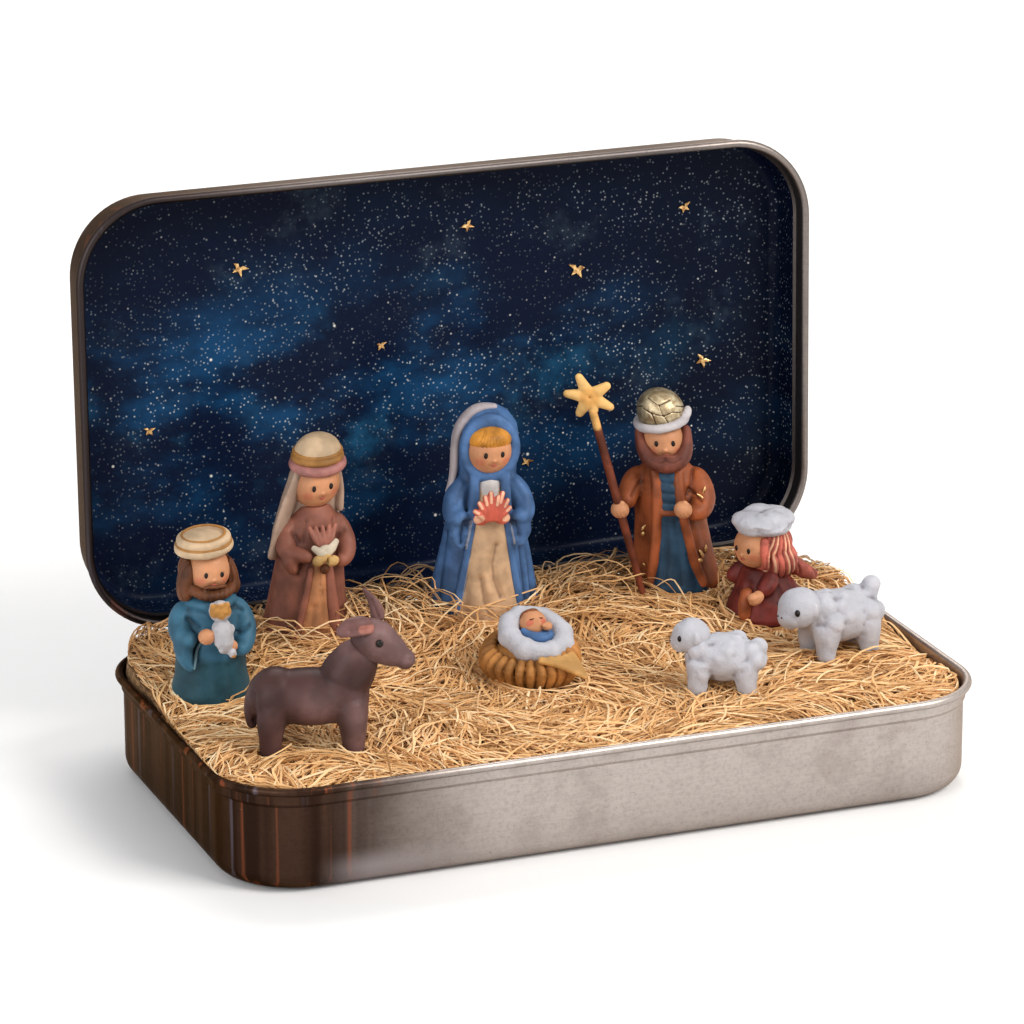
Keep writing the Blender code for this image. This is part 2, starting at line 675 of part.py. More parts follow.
def build_shepherd(look):
    """A turbaned shepherd with full sleeves who holds a lamb."""
    figure = stand("shepherd", *SHEPHERD_PLACE)
    head_z = SHEPHERD_HEIGHT + 0.85 * SHEPHERD_HEAD
    chest = 0.72 * SHEPHERD_HEIGHT
    robe = gown("shepherd_robe", figure, look["blue"], SHEPHERD_HEIGHT, SHEPHERD_HEM,
                SHEPHERD_SHOULDER, 0.6 * SHEPHERD_HEAD, waist=1.05)
    head = ball("shepherd_head", (0.0, -0.1 * SHEPHERD_HEAD, head_z), (SHEPHERD_HEAD,) * 3, look["skin"], figure)
    hair = ball("shepherd_hair_and_beard", (0.0, 0.25 * SHEPHERD_HAIR, head_z - 0.1 * SHEPHERD_HAIR),
                (SHEPHERD_HAIR, 0.92 * SHEPHERD_HAIR, SHEPHERD_HAIR), look["brown"], figure)
    fuse(hair, beard_mass(figure, SHEPHERD_HAIR, head_z, look["brown"]))
    cap = turban("shepherd_turban", SHEPHERD_TURBAN, SHEPHERD_TURBAN_HEIGHT,
                 head_z + 0.62 * SHEPHERD_HEAD, look["cream"], figure)
    sleeves = pair_of_arms(
        "shepherd", figure, look["blue"],
        (0.85 * SHEPHERD_SHOULDER, 0.0, 0.88 * SHEPHERD_HEIGHT),
        (SHEPHERD_SHOULDER + 0.5 * SHEPHERD_SLEEVE, -0.3 * SHEPHERD_REACH, 0.66 * SHEPHERD_HEIGHT),
        (0.6 * SHEPHERD_SHOULDER, -0.85 * SHEPHERD_REACH, 0.62 * SHEPHERD_HEIGHT),
        (0.7 * SHEPHERD_SLEEVE, SHEPHERD_SLEEVE, 1.1 * SHEPHERD_SLEEVE))
    lamb_y = -SHEPHERD_REACH
    lamb = limb("shepherd_lamb", [
        (0.35 * SHEPHERD_SHOULDER, lamb_y, chest - 0.6 * HELD_LAMB_LENGTH),
        (0.15 * SHEPHERD_SHOULDER, lamb_y, chest - 0.2 * HELD_LAMB_LENGTH),
        (0.15 * SHEPHERD_SHOULDER, lamb_y, chest + 0.3 * HELD_LAMB_LENGTH)],
        (0.5 * HELD_LAMB_RADIUS, 1.1 * HELD_LAMB_RADIUS, 0.8 * HELD_LAMB_RADIUS), look["wool"], figure)
    fuse(lamb, ball("shepherd_lamb_head", (0.15 * SHEPHERD_SHOULDER, lamb_y, chest + 0.45 * HELD_LAMB_LENGTH),
                    (HELD_LAMB_HEAD,) * 3, look["wool"], figure, SMALL_BALL))
    hand = ball("shepherd_hand", (-0.3 * SHEPHERD_SHOULDER, lamb_y, chest - 0.1 * HELD_LAMB_LENGTH),
                (SHEPHERD_HAND,) * 3, look["skin"], figure, SMALL_BALL)
    seat(hair, head)
    seat(robe, head, hair)
    seat(cap, head, hair)
    seat(lamb, robe, *sleeves)
    seat(hand, robe, lamb, *sleeves)
    for sleeve in sleeves:
        seat(sleeve, robe, hair)
    return [footprint(figure, robe)]


def build_veiled_figure(look):
    """A figure in a brimmed headdress and long veil, who holds out a gift."""
    figure = stand("veiled_figure", *VEILED_PLACE)
    head_z = VEILED_HEIGHT + 0.9 * VEILED_HEAD
    brim_z = head_z + 0.75 * VEILED_HEAD
    wrist = (0.4 * VEILED_SHOULDER, -0.9 * VEILED_REACH, 0.68 * VEILED_HEIGHT)
    robe = gown("veiled_robe", figure, look["rose"], VEILED_HEIGHT, VEILED_HEM, VEILED_SHOULDER,
                0.6 * VEILED_HEAD, waist=1.02)
    skirt = gown("veiled_underskirt", figure, look["tan"], 0.62 * VEILED_HEIGHT, VEILED_SKIRT,
                 0.5 * VEILED_SKIRT, 0.2 * VEILED_SKIRT, forward=0.85 * VEILED_HEM - 0.6 * VEILED_SKIRT, drop=HEM_DROP)
    head = ball("veiled_head", (0.0, -0.1 * VEILED_HEAD, head_z), (VEILED_HEAD,) * 3, look["skin"], figure)
    brim = disc("veiled_brim", VEILED_BRIM, VEILED_BRIM_ROLL, (0.0, 0.0, brim_z), look["mauve"], figure)
    shape = ((0.0, 1.0), (0.4, 0.95), (0.75, 0.78), (0.93, 0.52), (0.97, 0.3), (0.92, 0.0), (0.0, 0.0))
    cap = turned("veiled_cap", [(VEILED_CAP * across, VEILED_CAP_HEIGHT * up) for across, up in shape],
                 look["cream"], figure, centre=(0.0, 0.0, brim_z + VEILED_BRIM_ROLL))
    veil_top = brim_z - VEILED_BRIM_ROLL - SEAT
    rings = []
    for fall, spread_out in ((1.0, 0.88), (0.94, 1.0), (0.6, 0.98), (0.3, 0.88), (0.0, 0.78)):
        rings.append(oval(veil_top - fall * VEIL_LENGTH, spread_out * VEIL_WIDTH, 0.62 * spread_out * VEIL_WIDTH,
                          2 * VEIL_FOLDS, (0.0, 0.28 * VEIL_WIDTH), VEIL_FOLDS, PLEAT_DEPTH))
    veil = skin("veil", rings, look["cream"], figure)
    sleeves = pair_of_arms(
        "veiled", figure, look["rose"], (0.85 * VEILED_SHOULDER, 0.0, 0.9 * VEILED_HEIGHT),
        (VEILED_SHOULDER + 0.4 * VEILED_SLEEVE, -0.35 * VEILED_REACH, 0.66 * VEILED_HEIGHT), wrist,
        (0.7 * VEILED_SLEEVE, VEILED_SLEEVE, 0.8 * VEILED_SLEEVE))
    gift = ball("veiled_gift", (0.0, -VEILED_REACH, wrist[2]), (VEILED_GIFT, 0.9 * VEILED_GIFT, VEILED_GIFT),
                look["cream"], figure, SMALL_BALL)
    seat(robe, head, skirt)
    seat(brim, head)
    seat(cap, head, brim)
    seat(veil, head, robe, *sleeves)
    seat(gift, robe, *sleeves)
    for sleeve in sleeves:
        seat(sleeve, robe)
    lean_over(figure, VEILED_LEAN)
    return [footprint(figure, robe, skirt)]


def build_mother(look):
    """The mother: a cream dress under a hooded blue mantle that is open in front, hands together."""
    figure = stand("mother", *MOTHER_PLACE)
    head_z = MOTHER_HEIGHT + 0.93 * MOTHER_HEAD
    wrist = (0.4 * MOTHER_SHOULDER, -0.95 * MOTHER_REACH, 0.77 * MOTHER_HEIGHT)
    dress = gown("mother_dress", figure, look["cream"], MOTHER_HEIGHT, MOTHER_HEM, MOTHER_SHOULDER,
                 0.55 * MOTHER_HEAD, forward=0.22 * MANTLE_HEM, waist=0.95, drop=HEM_DROP)
    head = ball("mother_head", (0.0, -0.45 * MOTHER_HEAD, head_z), (MOTHER_HEAD,) * 3, look["skin"], figure)
    lift = 0.5 * MOTHER_HEAD
    fringe = ball("mother_hair", (0.0, -0.4 * MOTHER_HEAD, head_z + lift),
                  (0.92 * MOTHER_HEAD, 0.95 * MOTHER_HEAD, MOTHER_HEAD + MOTHER_FRINGE - lift), look["gold_hair"], figure)
    mantle = gown("mother_mantle", figure, look["mantle"], MOTHER_HEIGHT, MANTLE_HEM, MANTLE_SHOULDER,
                  0.9 * HOOD_RADIUS, flat=0.68, forward=-0.08 * MANTLE_HEM, waist=1.02)
    hood = ball("mother_hood", (0.0, 0.2 * HOOD_RADIUS, head_z), (HOOD_RADIUS, 0.88 * HOOD_RADIUS, HOOD_HEIGHT),
                look["mantle"], figure)
    sleeves = pair_of_arms(
        "mother", figure, look["mantle"], (0.8 * MANTLE_SHOULDER, -0.1 * MOTHER_REACH, 0.86 * MOTHER_HEIGHT),
        (MANTLE_SHOULDER, -0.5 * MOTHER_REACH, 0.66 * MOTHER_HEIGHT), wrist,
        (0.7 * MOTHER_SLEEVE, MOTHER_SLEEVE, 0.9 * MOTHER_SLEEVE))
    hands = ball("mother_hands", (-0.45 * MOTHER_HAND, -MOTHER_REACH, wrist[2]),
                 (0.7 * MOTHER_HAND, 0.8 * MOTHER_HAND, 1.4 * MOTHER_HAND), look["hands"], figure, SMALL_BALL)
    other = ball("mother_other_hand", (0.45 * MOTHER_HAND, -MOTHER_REACH, wrist[2]),
                 (0.7 * MOTHER_HAND, 0.8 * MOTHER_HAND, 1.4 * MOTHER_HAND), look["hands"], figure, SMALL_BALL)
    fuse(mantle, hood)
    fuse(hands, other)
    seat(dress, head)
    seat(fringe, head)
    seat(mantle, dress, head, fringe)
    seat(hands, dress, *sleeves)
    for sleeve in sleeves:
        seat(sleeve, dress, mantle)
    lean_over(figure, MOTHER_LEAN)
    return [footprint(figure, dress, mantle)]


def build_king(look):
    """A bearded king in an open coat, with a domed cap and a star on a long staff."""
    figure = stand("king", *KING_PLACE)
    head_z = KING_HEIGHT + 0.85 * KING_HEAD
    front = KING_HEM + KING_HAND
    hand_z = 0.7 * KING_HEIGHT
    lean = math.tan(math.radians(STAFF_LEAN))
    foot = Vector((-STAFF_FOOT, -front, 0.5 * FOOT_SINK))
    tip = foot + Vector((-lean * STAFF_LENGTH, 0.0, STAFF_LENGTH))
    grip = foot.lerp(tip, (hand_z - foot.z) / STAFF_LENGTH)
    free_hand = Vector((0.55 * KING_SHOULDER, -front, hand_z))
    tunic = gown("king_tunic", figure, look["navy"], KING_HEIGHT, KING_HEM, KING_SHOULDER, 0.6 * KING_HEAD,
                 forward=0.3 * KING_HEM, waist=0.8, drop=HEM_DROP)
    coat = gown("king_coat", figure, look["rust"], KING_HEIGHT, COAT_HEM, COAT_SHOULDER, 0.7 * KING_HEAD,
                flat=0.78, waist=1.0)
    for side, hand in ((-1, grip), (1, free_hand)):
        elbow = (side * (COAT_SHOULDER + 0.2 * KING_SLEEVE), -0.35 * front, 0.74 * KING_HEIGHT)
        cuff = hand + Vector((side * 0.8 * KING_HAND, 0.9 * KING_HAND, 0.0))
        fuse(coat, limb("king_arm", [(side * 0.75 * COAT_SHOULDER, 0.0, 0.88 * KING_HEIGHT), elbow, cuff],
                        (0.8 * KING_SLEEVE, KING_SLEEVE, 0.9 * KING_SLEEVE), look["rust"], figure))
    head = ball("king_head", (0.0, -0.15 * KING_HEAD, head_z), (KING_HEAD,) * 3, look["skin"], figure)
    beard = ball("king_beard", (0.0, 0.15 * KING_BEARD, head_z - 0.1 * KING_BEARD),
                 (KING_BEARD, 0.95 * KING_BEARD, KING_BEARD), look["hair"], figure)
    fuse(beard, beard_mass(figure, KING_BEARD, head_z, look["hair"]))
    cap = ball("king_cap", (0.0, 0.0, head_z + 1.15 * KING_HEAD), (KING_CAP, KING_CAP, KING_CAP),
               look["gold"], figure)
    brim = disc("king_brim", KING_BRIM + KING_BRIM_ROLL, KING_BRIM_ROLL, (0.0, 0.0, head_z + 0.85 * KING_HEAD),
                look["white"], figure, tilt=-10.0)
    staff = cone("king_staff", foot, tip, 0.85 * STAFF_RADIUS, STAFF_RADIUS, look["wood"], figure)
    star = build_star(figure, look["star"], tip)
    hands = []
    for label, centre in (("left", grip), ("right", free_hand)):
        hands.append(ball("king_hand_" + label, centre, (KING_HAND,) * 3, look["skin"], figure, SMALL_BALL))
    seat(beard, head)
    seat(tunic, head, beard)
    seat(coat, tunic, head, beard, staff)
    seat(cap, head, beard)
    seat(brim, head, beard, cap)
    seat(star, staff)
    seat(hands[0], staff, coat)
    seat(hands[1], coat, tunic)
    lean_over(figure, KING_LEAN)
    return [footprint(figure, tunic, coat, staff, gap=2 * STRAW_GAP)]


def build_star(figure, material, tip):
    """A flat star with blunt arms: an outline with alternate radii, extruded and rounded."""
    bm = bmesh.new()
    ring = []
    for i in range(2 * STAR_POINTS):
        angle = math.pi * i / STAR_POINTS + 0.5 * math.pi
        radius = STAR_WAIST if i % 2 else STAR_RADIUS
        ring.append(bm.verts.new((radius * math.cos(angle), -0.5 * STAR_THICKNESS, radius * math.sin(angle))))
    face = bm.faces.new(ring)
    solid = bmesh.ops.extrude_face_region(bm, geom=[face])
    grown = [item for item in solid["geom"] if isinstance(item, bmesh.types.BMVert)]
    bmesh.ops.translate(bm, vec=(0.0, STAR_THICKNESS, 0.0), verts=grown)
    bmesh.ops.recalc_face_normals(bm, faces=bm.faces)
    bmesh.ops.translate(bm, vec=tip + Vector((0.0, 0.0, 0.5 * STAR_WAIST)), verts=bm.verts)
    mesh = bpy.data.meshes.new("king_star")
    bm.to_mesh(mesh)
    bm.free()
    star = place("king_star", mesh, material, figure)
    rounding = star.modifiers.new("rounding", "BEVEL")
    rounding.width = 0.25 * STAR_THICKNESS
    rounding.segments = 1
    rounding.limit_method = "ANGLE"
    return star


def build_kneeler(look):
    """A kneeling figure in a beret and a hair cloth, one hand held out."""
    figure = stand("kneeling_figure", *KNEELER_PLACE)
    head_y = -0.5 * KNEELER_HEAD
    head_z = KNEELER_HEIGHT + 0.9 * KNEELER_HEAD
    robe = gown("kneeler_robe", figure, look["maroon"], KNEELER_HEIGHT, KNEELER_HEM, KNEELER_SHOULDER,
                0.6 * KNEELER_HEAD, flat=1.15, waist=1.2)
    head = ball("kneeler_head", (0.0, head_y, head_z), (KNEELER_HEAD,) * 3, look["skin"], figure)
    cloth = ball("kneeler_hair_cloth", (0.0, head_y + 0.55 * KNEELER_CLOTH, head_z - 0.25 * KNEELER_CLOTH),
                 (0.95 * KNEELER_CLOTH, 0.85 * KNEELER_CLOTH, 1.05 * KNEELER_CLOTH), look["pink"], figure)
    tail = limb("kneeler_scarf", [
        (0.0, head_y + 1.2 * KNEELER_CLOTH, head_z - 0.7 * KNEELER_CLOTH),
        (-0.1 * SCARF_LENGTH, 0.45 * SCARF_LENGTH, 0.9 * KNEELER_HEIGHT),
        (-0.15 * SCARF_LENGTH, SCARF_LENGTH, 0.6 * KNEELER_HEIGHT)],
        (SCARF_RADIUS, 1.1 * SCARF_RADIUS, 0.7 * SCARF_RADIUS), look["pink"], figure)
    fuse(cloth, tail)
    beret = ball("kneeler_beret", (0.0, head_y + 0.15 * BERET_RADIUS, head_z + KNEELER_HEAD),
                 (BERET_RADIUS, BERET_RADIUS, 0.5 * BERET_HEIGHT), look["white"], figure, turn=(-8.0, "X"))
    arm = limb("kneeler_arm", [
        (0.8 * KNEELER_SHOULDER, -0.1 * KNEELER_ARM_REACH, 0.82 * KNEELER_HEIGHT),
        (1.25 * KNEELER_SHOULDER, -0.5 * KNEELER_ARM_REACH, 0.7 * KNEELER_HEIGHT),
        (1.3 * KNEELER_SHOULDER, -KNEELER_ARM_REACH, 0.55 * KNEELER_HEIGHT)],
        (KNEELER_ARM, KNEELER_ARM, 0.8 * KNEELER_ARM), look["skin"], figure)
    seat(cloth, head)
    seat(robe, head, cloth)
    seat(beret, head, cloth)
    seat(arm, robe, head, cloth)
    return [footprint(figure, robe)]


def build_donkey(look):
    """A sturdy donkey: barrel body, four round legs, neck, muzzle, two ears and a tail."""
    figure = stand("donkey", *DONKEY_PLACE)
    middle = DONKEY_LEG_LENGTH + 0.35 * DONKEY_GIRTH
    body = ball("donkey_body", (0.0, 0.0, middle), (0.5 * DONKEY_WIDTH, 0.5 * DONKEY_LENGTH, 0.5 * DONKEY_GIRTH),
                look["donkey"], figure)
    stance = 0.5 * DONKEY_WIDTH - DONKEY_LEG
    legs = []
    for side in (-1, 1):
        for end in (-1, 1):
            foot = (side * stance, end * 0.32 * DONKEY_LENGTH, 0.0)
            top = (0.8 * side * stance, end * 0.3 * DONKEY_LENGTH, middle)
            legs.append(cone("donkey_leg", foot, top, 0.9 * DONKEY_LEG, 1.15 * DONKEY_LEG, look["donkey"], figure))
    fuse(body, *legs)
    poll = Vector((0.0, -0.46 * DONKEY_LENGTH, middle + 0.9 * DONKEY_GIRTH))
    muzzle = poll + DONKEY_HEAD_LENGTH * Vector((0.0, -0.5, -0.36))
    fuse(body, cone("donkey_neck", (0.0, -0.3 * DONKEY_LENGTH, middle), poll, 1.2 * DONKEY_NECK, 0.8 * DONKEY_NECK,
                    look["donkey"], figure))
    rump = Vector((0.0, 0.47 * DONKEY_LENGTH, middle + 0.15 * DONKEY_GIRTH))
    fuse(body, limb("donkey_tail", [rump, rump + DONKEY_GIRTH * Vector((0.0, 0.12, -0.2)),
                                    rump + DONKEY_GIRTH * Vector((0.0, 0.08, -0.65))],
                    [share * DONKEY_LEG for share in (0.6, 0.5, 0.45)], look["donkey"], figure))
    head = limb("donkey_head", [poll + Vector((0.0, 0.3 * DONKEY_HEAD_RADIUS, 0.0)), poll.lerp(muzzle, 0.35), muzzle],
                (0.75 * DONKEY_HEAD_RADIUS, DONKEY_HEAD_RADIUS, 0.5 * DONKEY_HEAD_RADIUS), look["donkey"], figure)
    fuse(head, ball("donkey_brow", poll.lerp(muzzle, 0.1), (0.95 * DONKEY_HEAD_RADIUS,) * 3, look["donkey"], figure))
    fuse(head, ball("donkey_nose", muzzle, (0.55 * DONKEY_HEAD_RADIUS,) * 3, look["donkey"], figure, SMALL_BALL))
    seat(body, head)
    for side, label, lift in ((-1, "right", 1.0), (1, "left", 0.35)):
        root = poll + DONKEY_HEAD_RADIUS * Vector((0.45 * side, 0.3, 0.65))
        tip = root + DONKEY_EAR * Vector((0.45 * side * (1.6 - lift), 0.55 * (1.2 - lift), lift)).normalized()
        ear = limb("donkey_ear_" + label, [root, root.lerp(tip, 0.5), tip],
                   (0.16 * DONKEY_EAR, 0.28 * DONKEY_EAR, 0.1 * DONKEY_EAR), look["donkey"], figure)
        seat(ear, head)
    return [footprint(figure, leg) for leg in legs]


def build_manger(look):
    """A ribbed oval basket with a padded white swaddle and the child's head in it."""
    figure = stand("manger", *MANGER_PLACE)
    dish = MANGER_HEIGHT - 0.2 * MANGER_HEIGHT
    rings = []
    for share, z in ((0.6, 0.0), (0.66, HEM_STRAIGHT), (0.84, 0.5 * MANGER_HEIGHT), (0.97, 0.85 * MANGER_HEIGHT),
                     (1.0, 0.95 * MANGER_HEIGHT), (0.96, MANGER_HEIGHT), (0.88, MANGER_HEIGHT), (0.8, dish)):
        ribbed = MANGER_RIB_DEPTH if z not in (0.0, dish) else 0.0
        rings.append(oval(z, 0.5 * share * MANGER_LENGTH, 0.5 * share * MANGER_WIDTH, 2 * MANGER_RIBS,
                          folds=MANGER_RIBS, depth=ribbed))
    basket = skin("manger_basket", rings, look["basket"], figure)
    rings = []
    for share, up in ((0.6, 0.0), (0.9, 0.5), (1.0, 1.1), (0.96, 1.7), (0.78, 2.0), (0.58, 1.75), (0.5, 1.3)):
        rings.append(oval(dish + STRAW_GAP + up * SWADDLE_ROLL, 0.5 * share * SWADDLE_LENGTH,
                          0.5 * share * SWADDLE_WIDTH, 20))
    swaddle = skin("manger_swaddle", rings, look["white"], figure)
    child = ball("child_head", (0.0, 0.0, dish + STRAW_GAP + 1.3 * SWADDLE_ROLL + 0.9 * BABY_HEAD),
                 (BABY_HEAD,) * 3, look["skin"], figure)
    seat(swaddle, basket, child)
    return [footprint(figure, basket)]


def build_lamb(name, look, place_at, length, girth, head_radius, leg):
    """A woolly lamb: rounded body on four stout legs, a tail tuft, and a separate head."""
    figure = stand(name, *place_at)
    middle = 0.5 * girth + 1.3 * leg
    legs = []
    body = ball(name + "_body", (0.0, 0.0, middle), (0.48 * girth, 0.5 * length, 0.5 * girth), look["wool"], figure)
    for side in (-1, 1):
        for end in (-1, 1):
            foot = (0.27 * side * girth, 0.3 * end * length, 0.0)
            legs.append(cone(name + "_leg", foot, (foot[0], foot[1], middle), leg, 1.15 * leg, look["wool"], figure))
    fuse(body, *legs)
    crown = Vector((0.0, -0.45 * length, middle + 0.75 * head_radius))
    fuse(body, ball(name + "_neck", (0.0, -0.3 * length, middle + 0.2 * girth), (0.36 * girth,) * 3,
                    look["wool"], figure, SMALL_BALL))
    fuse(body, ball(name + "_tail", (0.0, 0.5 * length, middle + 0.3 * girth), (0.8 * leg,) * 3,
                    look["wool"], figure, SMALL_BALL))
    head = ball(name + "_head", crown, (0.92 * head_radius, head_radius, 0.95 * head_radius), look["wool"], figure)
    fuse(head, ball(name + "_muzzle", crown + head_radius * Vector((0.0, -0.75, -0.3)), (0.5 * head_radius,) * 3,
                    look["wool"], figure, SMALL_BALL))
    for side in (-1, 1):
        fuse(head, ball(name + "_ear", crown + head_radius * Vector((0.95 * side, 0.15, 0.05)),
                        (0.35 * head_radius, 0.25 * head_radius, 0.5 * head_radius), look["wool"], figure, SMALL_BALL))
    seat(body, head)
    return [footprint(figure, leg) for leg in legs]


def build():
    """Builds the tin, its figures, and last the straw that is hollowed under them."""
    tin = clay("brushed_tinplate", (0.55, 0.53, 0.51), 0.35, 1.0)
    steel = clay("pin_steel", (0.6, 0.6, 0.6), 0.3, 1.0)
    look = {
        "blue": clay("steel_blue_clay", (0.07, 0.2, 0.32)),
        "skin": clay("skin_clay", (0.8, 0.52, 0.36)),
        "brown": clay("brown_hair_clay", (0.2, 0.1, 0.06)),
        "cream": clay("cream_clay", (0.78, 0.68, 0.55)),
        "wool": clay("white_wool_clay", (0.85, 0.85, 0.88), 0.8),
        "rose": clay("dusty_rose_clay", (0.42, 0.2, 0.17)),
        "tan": clay("tan_clay", (0.6, 0.32, 0.18)),
        "mauve": clay("mauve_clay", (0.5, 0.28, 0.32)),
        "mantle": clay("cornflower_clay", (0.13, 0.24, 0.5)),
        "hands": clay("rosy_hands_clay", (0.72, 0.28, 0.22)),
        "gold_hair": clay("golden_hair_clay", (0.75, 0.45, 0.12)),
        "navy": clay("navy_clay", (0.05, 0.11, 0.19)),
        "rust": clay("rust_clay", (0.42, 0.16, 0.08)),
        "hair": clay("mauve_brown_hair_clay", (0.34, 0.17, 0.14)),
        "gold": clay("gold_leaf", (0.65, 0.5, 0.25), 0.35, 0.8),
        "white": clay("white_clay", (0.82, 0.82, 0.84), 0.7),
        "wood": clay("staff_clay", (0.33, 0.12, 0.08)),
        "star": clay("star_clay", (0.8, 0.55, 0.25)),
        "maroon": clay("maroon_clay", (0.22, 0.06, 0.06)),
        "pink": clay("rose_pink_clay", (0.62, 0.22, 0.2)),
        "donkey": clay("mauve_brown_clay", (0.2, 0.13, 0.13)),
        "basket": clay("ochre_basket_clay", (0.65, 0.4, 0.15)),
    }
    pressed_shell("base_tray", TRAY_HEIGHT, BOTTOM_RADIUS, tin)
    lid_frame = build_lid(tin)
    build_hinges(tin, steel, lid_frame)
    feet = build_shepherd(look) + build_veiled_figure(look) + build_mother(look) + build_king(look)
    feet += build_kneeler(look) + build_donkey(look) + build_manger(look)
    feet += build_lamb("small_lamb", look, SMALL_LAMB_PLACE, SMALL_LAMB_LENGTH,
                       SMALL_LAMB_GIRTH, SMALL_LAMB_HEAD, SMALL_LAMB_LEG)
    feet += build_lamb("large_lamb", look, LARGE_LAMB_PLACE, LARGE_LAMB_LENGTH,
                       LARGE_LAMB_GIRTH, LARGE_LAMB_HEAD, LARGE_LAMB_LEG)
    build_straw(clay("golden_straw", (0.72, 0.5, 0.26), 0.8), feet)


build()
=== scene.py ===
# %% [markdown]
# # A pocket nativity in a hinged tin
#
# The real object is a pocket tin of thin plate, about 95 mm long. Its lid stands open behind it and is
# painted inside as a night sky. The tray is filled with fine straw, and nine small figures of modelling
# clay stand in the straw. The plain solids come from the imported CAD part. This script dresses them.

# %% Load the CAD part
import math

import bpy
import numpy as np
from mathutils import Matrix, Vector


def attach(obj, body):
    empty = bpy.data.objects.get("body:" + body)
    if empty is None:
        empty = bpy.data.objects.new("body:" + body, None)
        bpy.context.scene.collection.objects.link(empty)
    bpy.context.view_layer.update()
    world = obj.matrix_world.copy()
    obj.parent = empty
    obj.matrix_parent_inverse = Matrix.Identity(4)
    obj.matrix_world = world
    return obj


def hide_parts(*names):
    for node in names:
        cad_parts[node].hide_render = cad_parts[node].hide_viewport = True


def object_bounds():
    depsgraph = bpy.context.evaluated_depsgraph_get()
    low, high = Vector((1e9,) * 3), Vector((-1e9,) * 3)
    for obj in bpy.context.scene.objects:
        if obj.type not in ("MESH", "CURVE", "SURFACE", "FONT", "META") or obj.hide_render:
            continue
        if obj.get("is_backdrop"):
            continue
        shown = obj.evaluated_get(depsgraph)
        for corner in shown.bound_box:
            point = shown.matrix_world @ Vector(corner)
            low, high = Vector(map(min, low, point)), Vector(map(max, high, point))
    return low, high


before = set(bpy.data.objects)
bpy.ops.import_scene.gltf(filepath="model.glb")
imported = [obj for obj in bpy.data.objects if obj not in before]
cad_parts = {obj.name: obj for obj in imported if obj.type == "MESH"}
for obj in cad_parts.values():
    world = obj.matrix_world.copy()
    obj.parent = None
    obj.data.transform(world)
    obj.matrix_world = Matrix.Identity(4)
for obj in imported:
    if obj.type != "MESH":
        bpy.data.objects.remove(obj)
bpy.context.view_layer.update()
MM = 0.001

# %% [markdown]
# ## Camera, light and floor
#
# The photograph looks down a little, from the left of the tin, through a long lens. So the camera is
# placed by its turn round the tin, its height and its distance, and one point that it looks at. Soft
# light comes from three large panels and a pale world, at a level where a colour shows as it is written.

# %% Camera at the photograph's angle
LOOK_AT = Vector((-0.00381, 0.0, 0.03313))
AZIMUTH = math.radians(-21.3095)
ELEVATION = math.radians(18.0014)
ROLL = math.radians(-0.1337)
DISTANCE = 0.593955
LENS = 177.973
SENSOR = 36
CLIP_START = 0.01

back = Vector((math.sin(AZIMUTH) * math.cos(ELEVATION), -math.cos(AZIMUTH) * math.cos(ELEVATION),
               math.sin(ELEVATION)))
bpy.ops.object.camera_add(location=LOOK_AT + DISTANCE * back)
camera = bpy.context.object
ahead = (-back).to_track_quat("-Z", "Y") @ Matrix.Rotation(ROLL, 3, "Z").to_quaternion()
camera.rotation_euler = ahead.to_euler()
camera.data.lens = LENS
camera.data.sensor_width = SENSOR
camera.data.clip_start = CLIP_START
bpy.context.scene.camera = camera
print("camera at", [round(v, 3) for v in camera.location])


# %% Light panels
LIGHT_TARGET = Vector((0.0, 0.0, 0.02))


def light_panel(name, place, size, watts, tint):
    """A square soft light that faces the tin."""
    bpy.ops.object.light_add(type="AREA", location=place)
    lamp = bpy.context.object
    lamp.name = name
    lamp.data.size = size
    lamp.data.energy = watts
    lamp.data.color = tint
    lamp.rotation_euler = (Vector(place) - LIGHT_TARGET).to_track_quat("Z", "Y").to_euler()


# Each panel: name, place and side in metres, watts, tint.
PANELS = (("key_panel", (0.30, -0.38, 0.42), 0.30, 3.0, (1.0, 0.97, 0.93)),
          ("fill_panel", (-0.45, -0.30, 0.22), 0.40, 1.5, (0.95, 0.97, 1.0)),
          ("back_panel", (0.10, 0.35, 0.45), 0.30, 1.6, (1.0, 0.98, 0.95)))
for panel in PANELS:
    light_panel(*panel)
bpy.context.scene.view_settings.view_transform = "Standard"
print("light panels:", len(PANELS))

# %% [markdown]
# ## Shader maths as plain sums
#
# A material is a net of small nodes. To keep it readable, a socket is wrapped in a small class, so that
# a sum such as 1 - mask adds its own Math node. Any other node comes from one method.


# %% A socket that can be added and multiplied
class Wire:
    """One output socket of a material, which plain Python sums can use."""

    def __init__(self, finish, socket):
        self.finish = finish
        self.socket = socket

    def sum(self, operation, a, b=0.0):
        return self.finish.node("ShaderNodeMath", {"operation": operation}, {0: a, 1: b})

    def __add__(self, other):
        return self.sum("ADD", self, other)

    def __sub__(self, other):
        return self.sum("SUBTRACT", self, other)

    def __rsub__(self, other):
        return self.sum("SUBTRACT", other, self)

    def __mul__(self, other):
        return self.sum("MULTIPLY", self, other)

    def __pow__(self, other):
        return self.sum("POWER", self, other)

    __radd__ = __add__
    __rmul__ = __mul__

    def over(self, low, high):
        """0 below low, 1 above high, and a smooth step between them."""
        return self.finish.node("ShaderNodeMapRange", {"interpolation_type": "SMOOTHSTEP"},
                                {"Value": self, "From Min": low, "From Max": high})


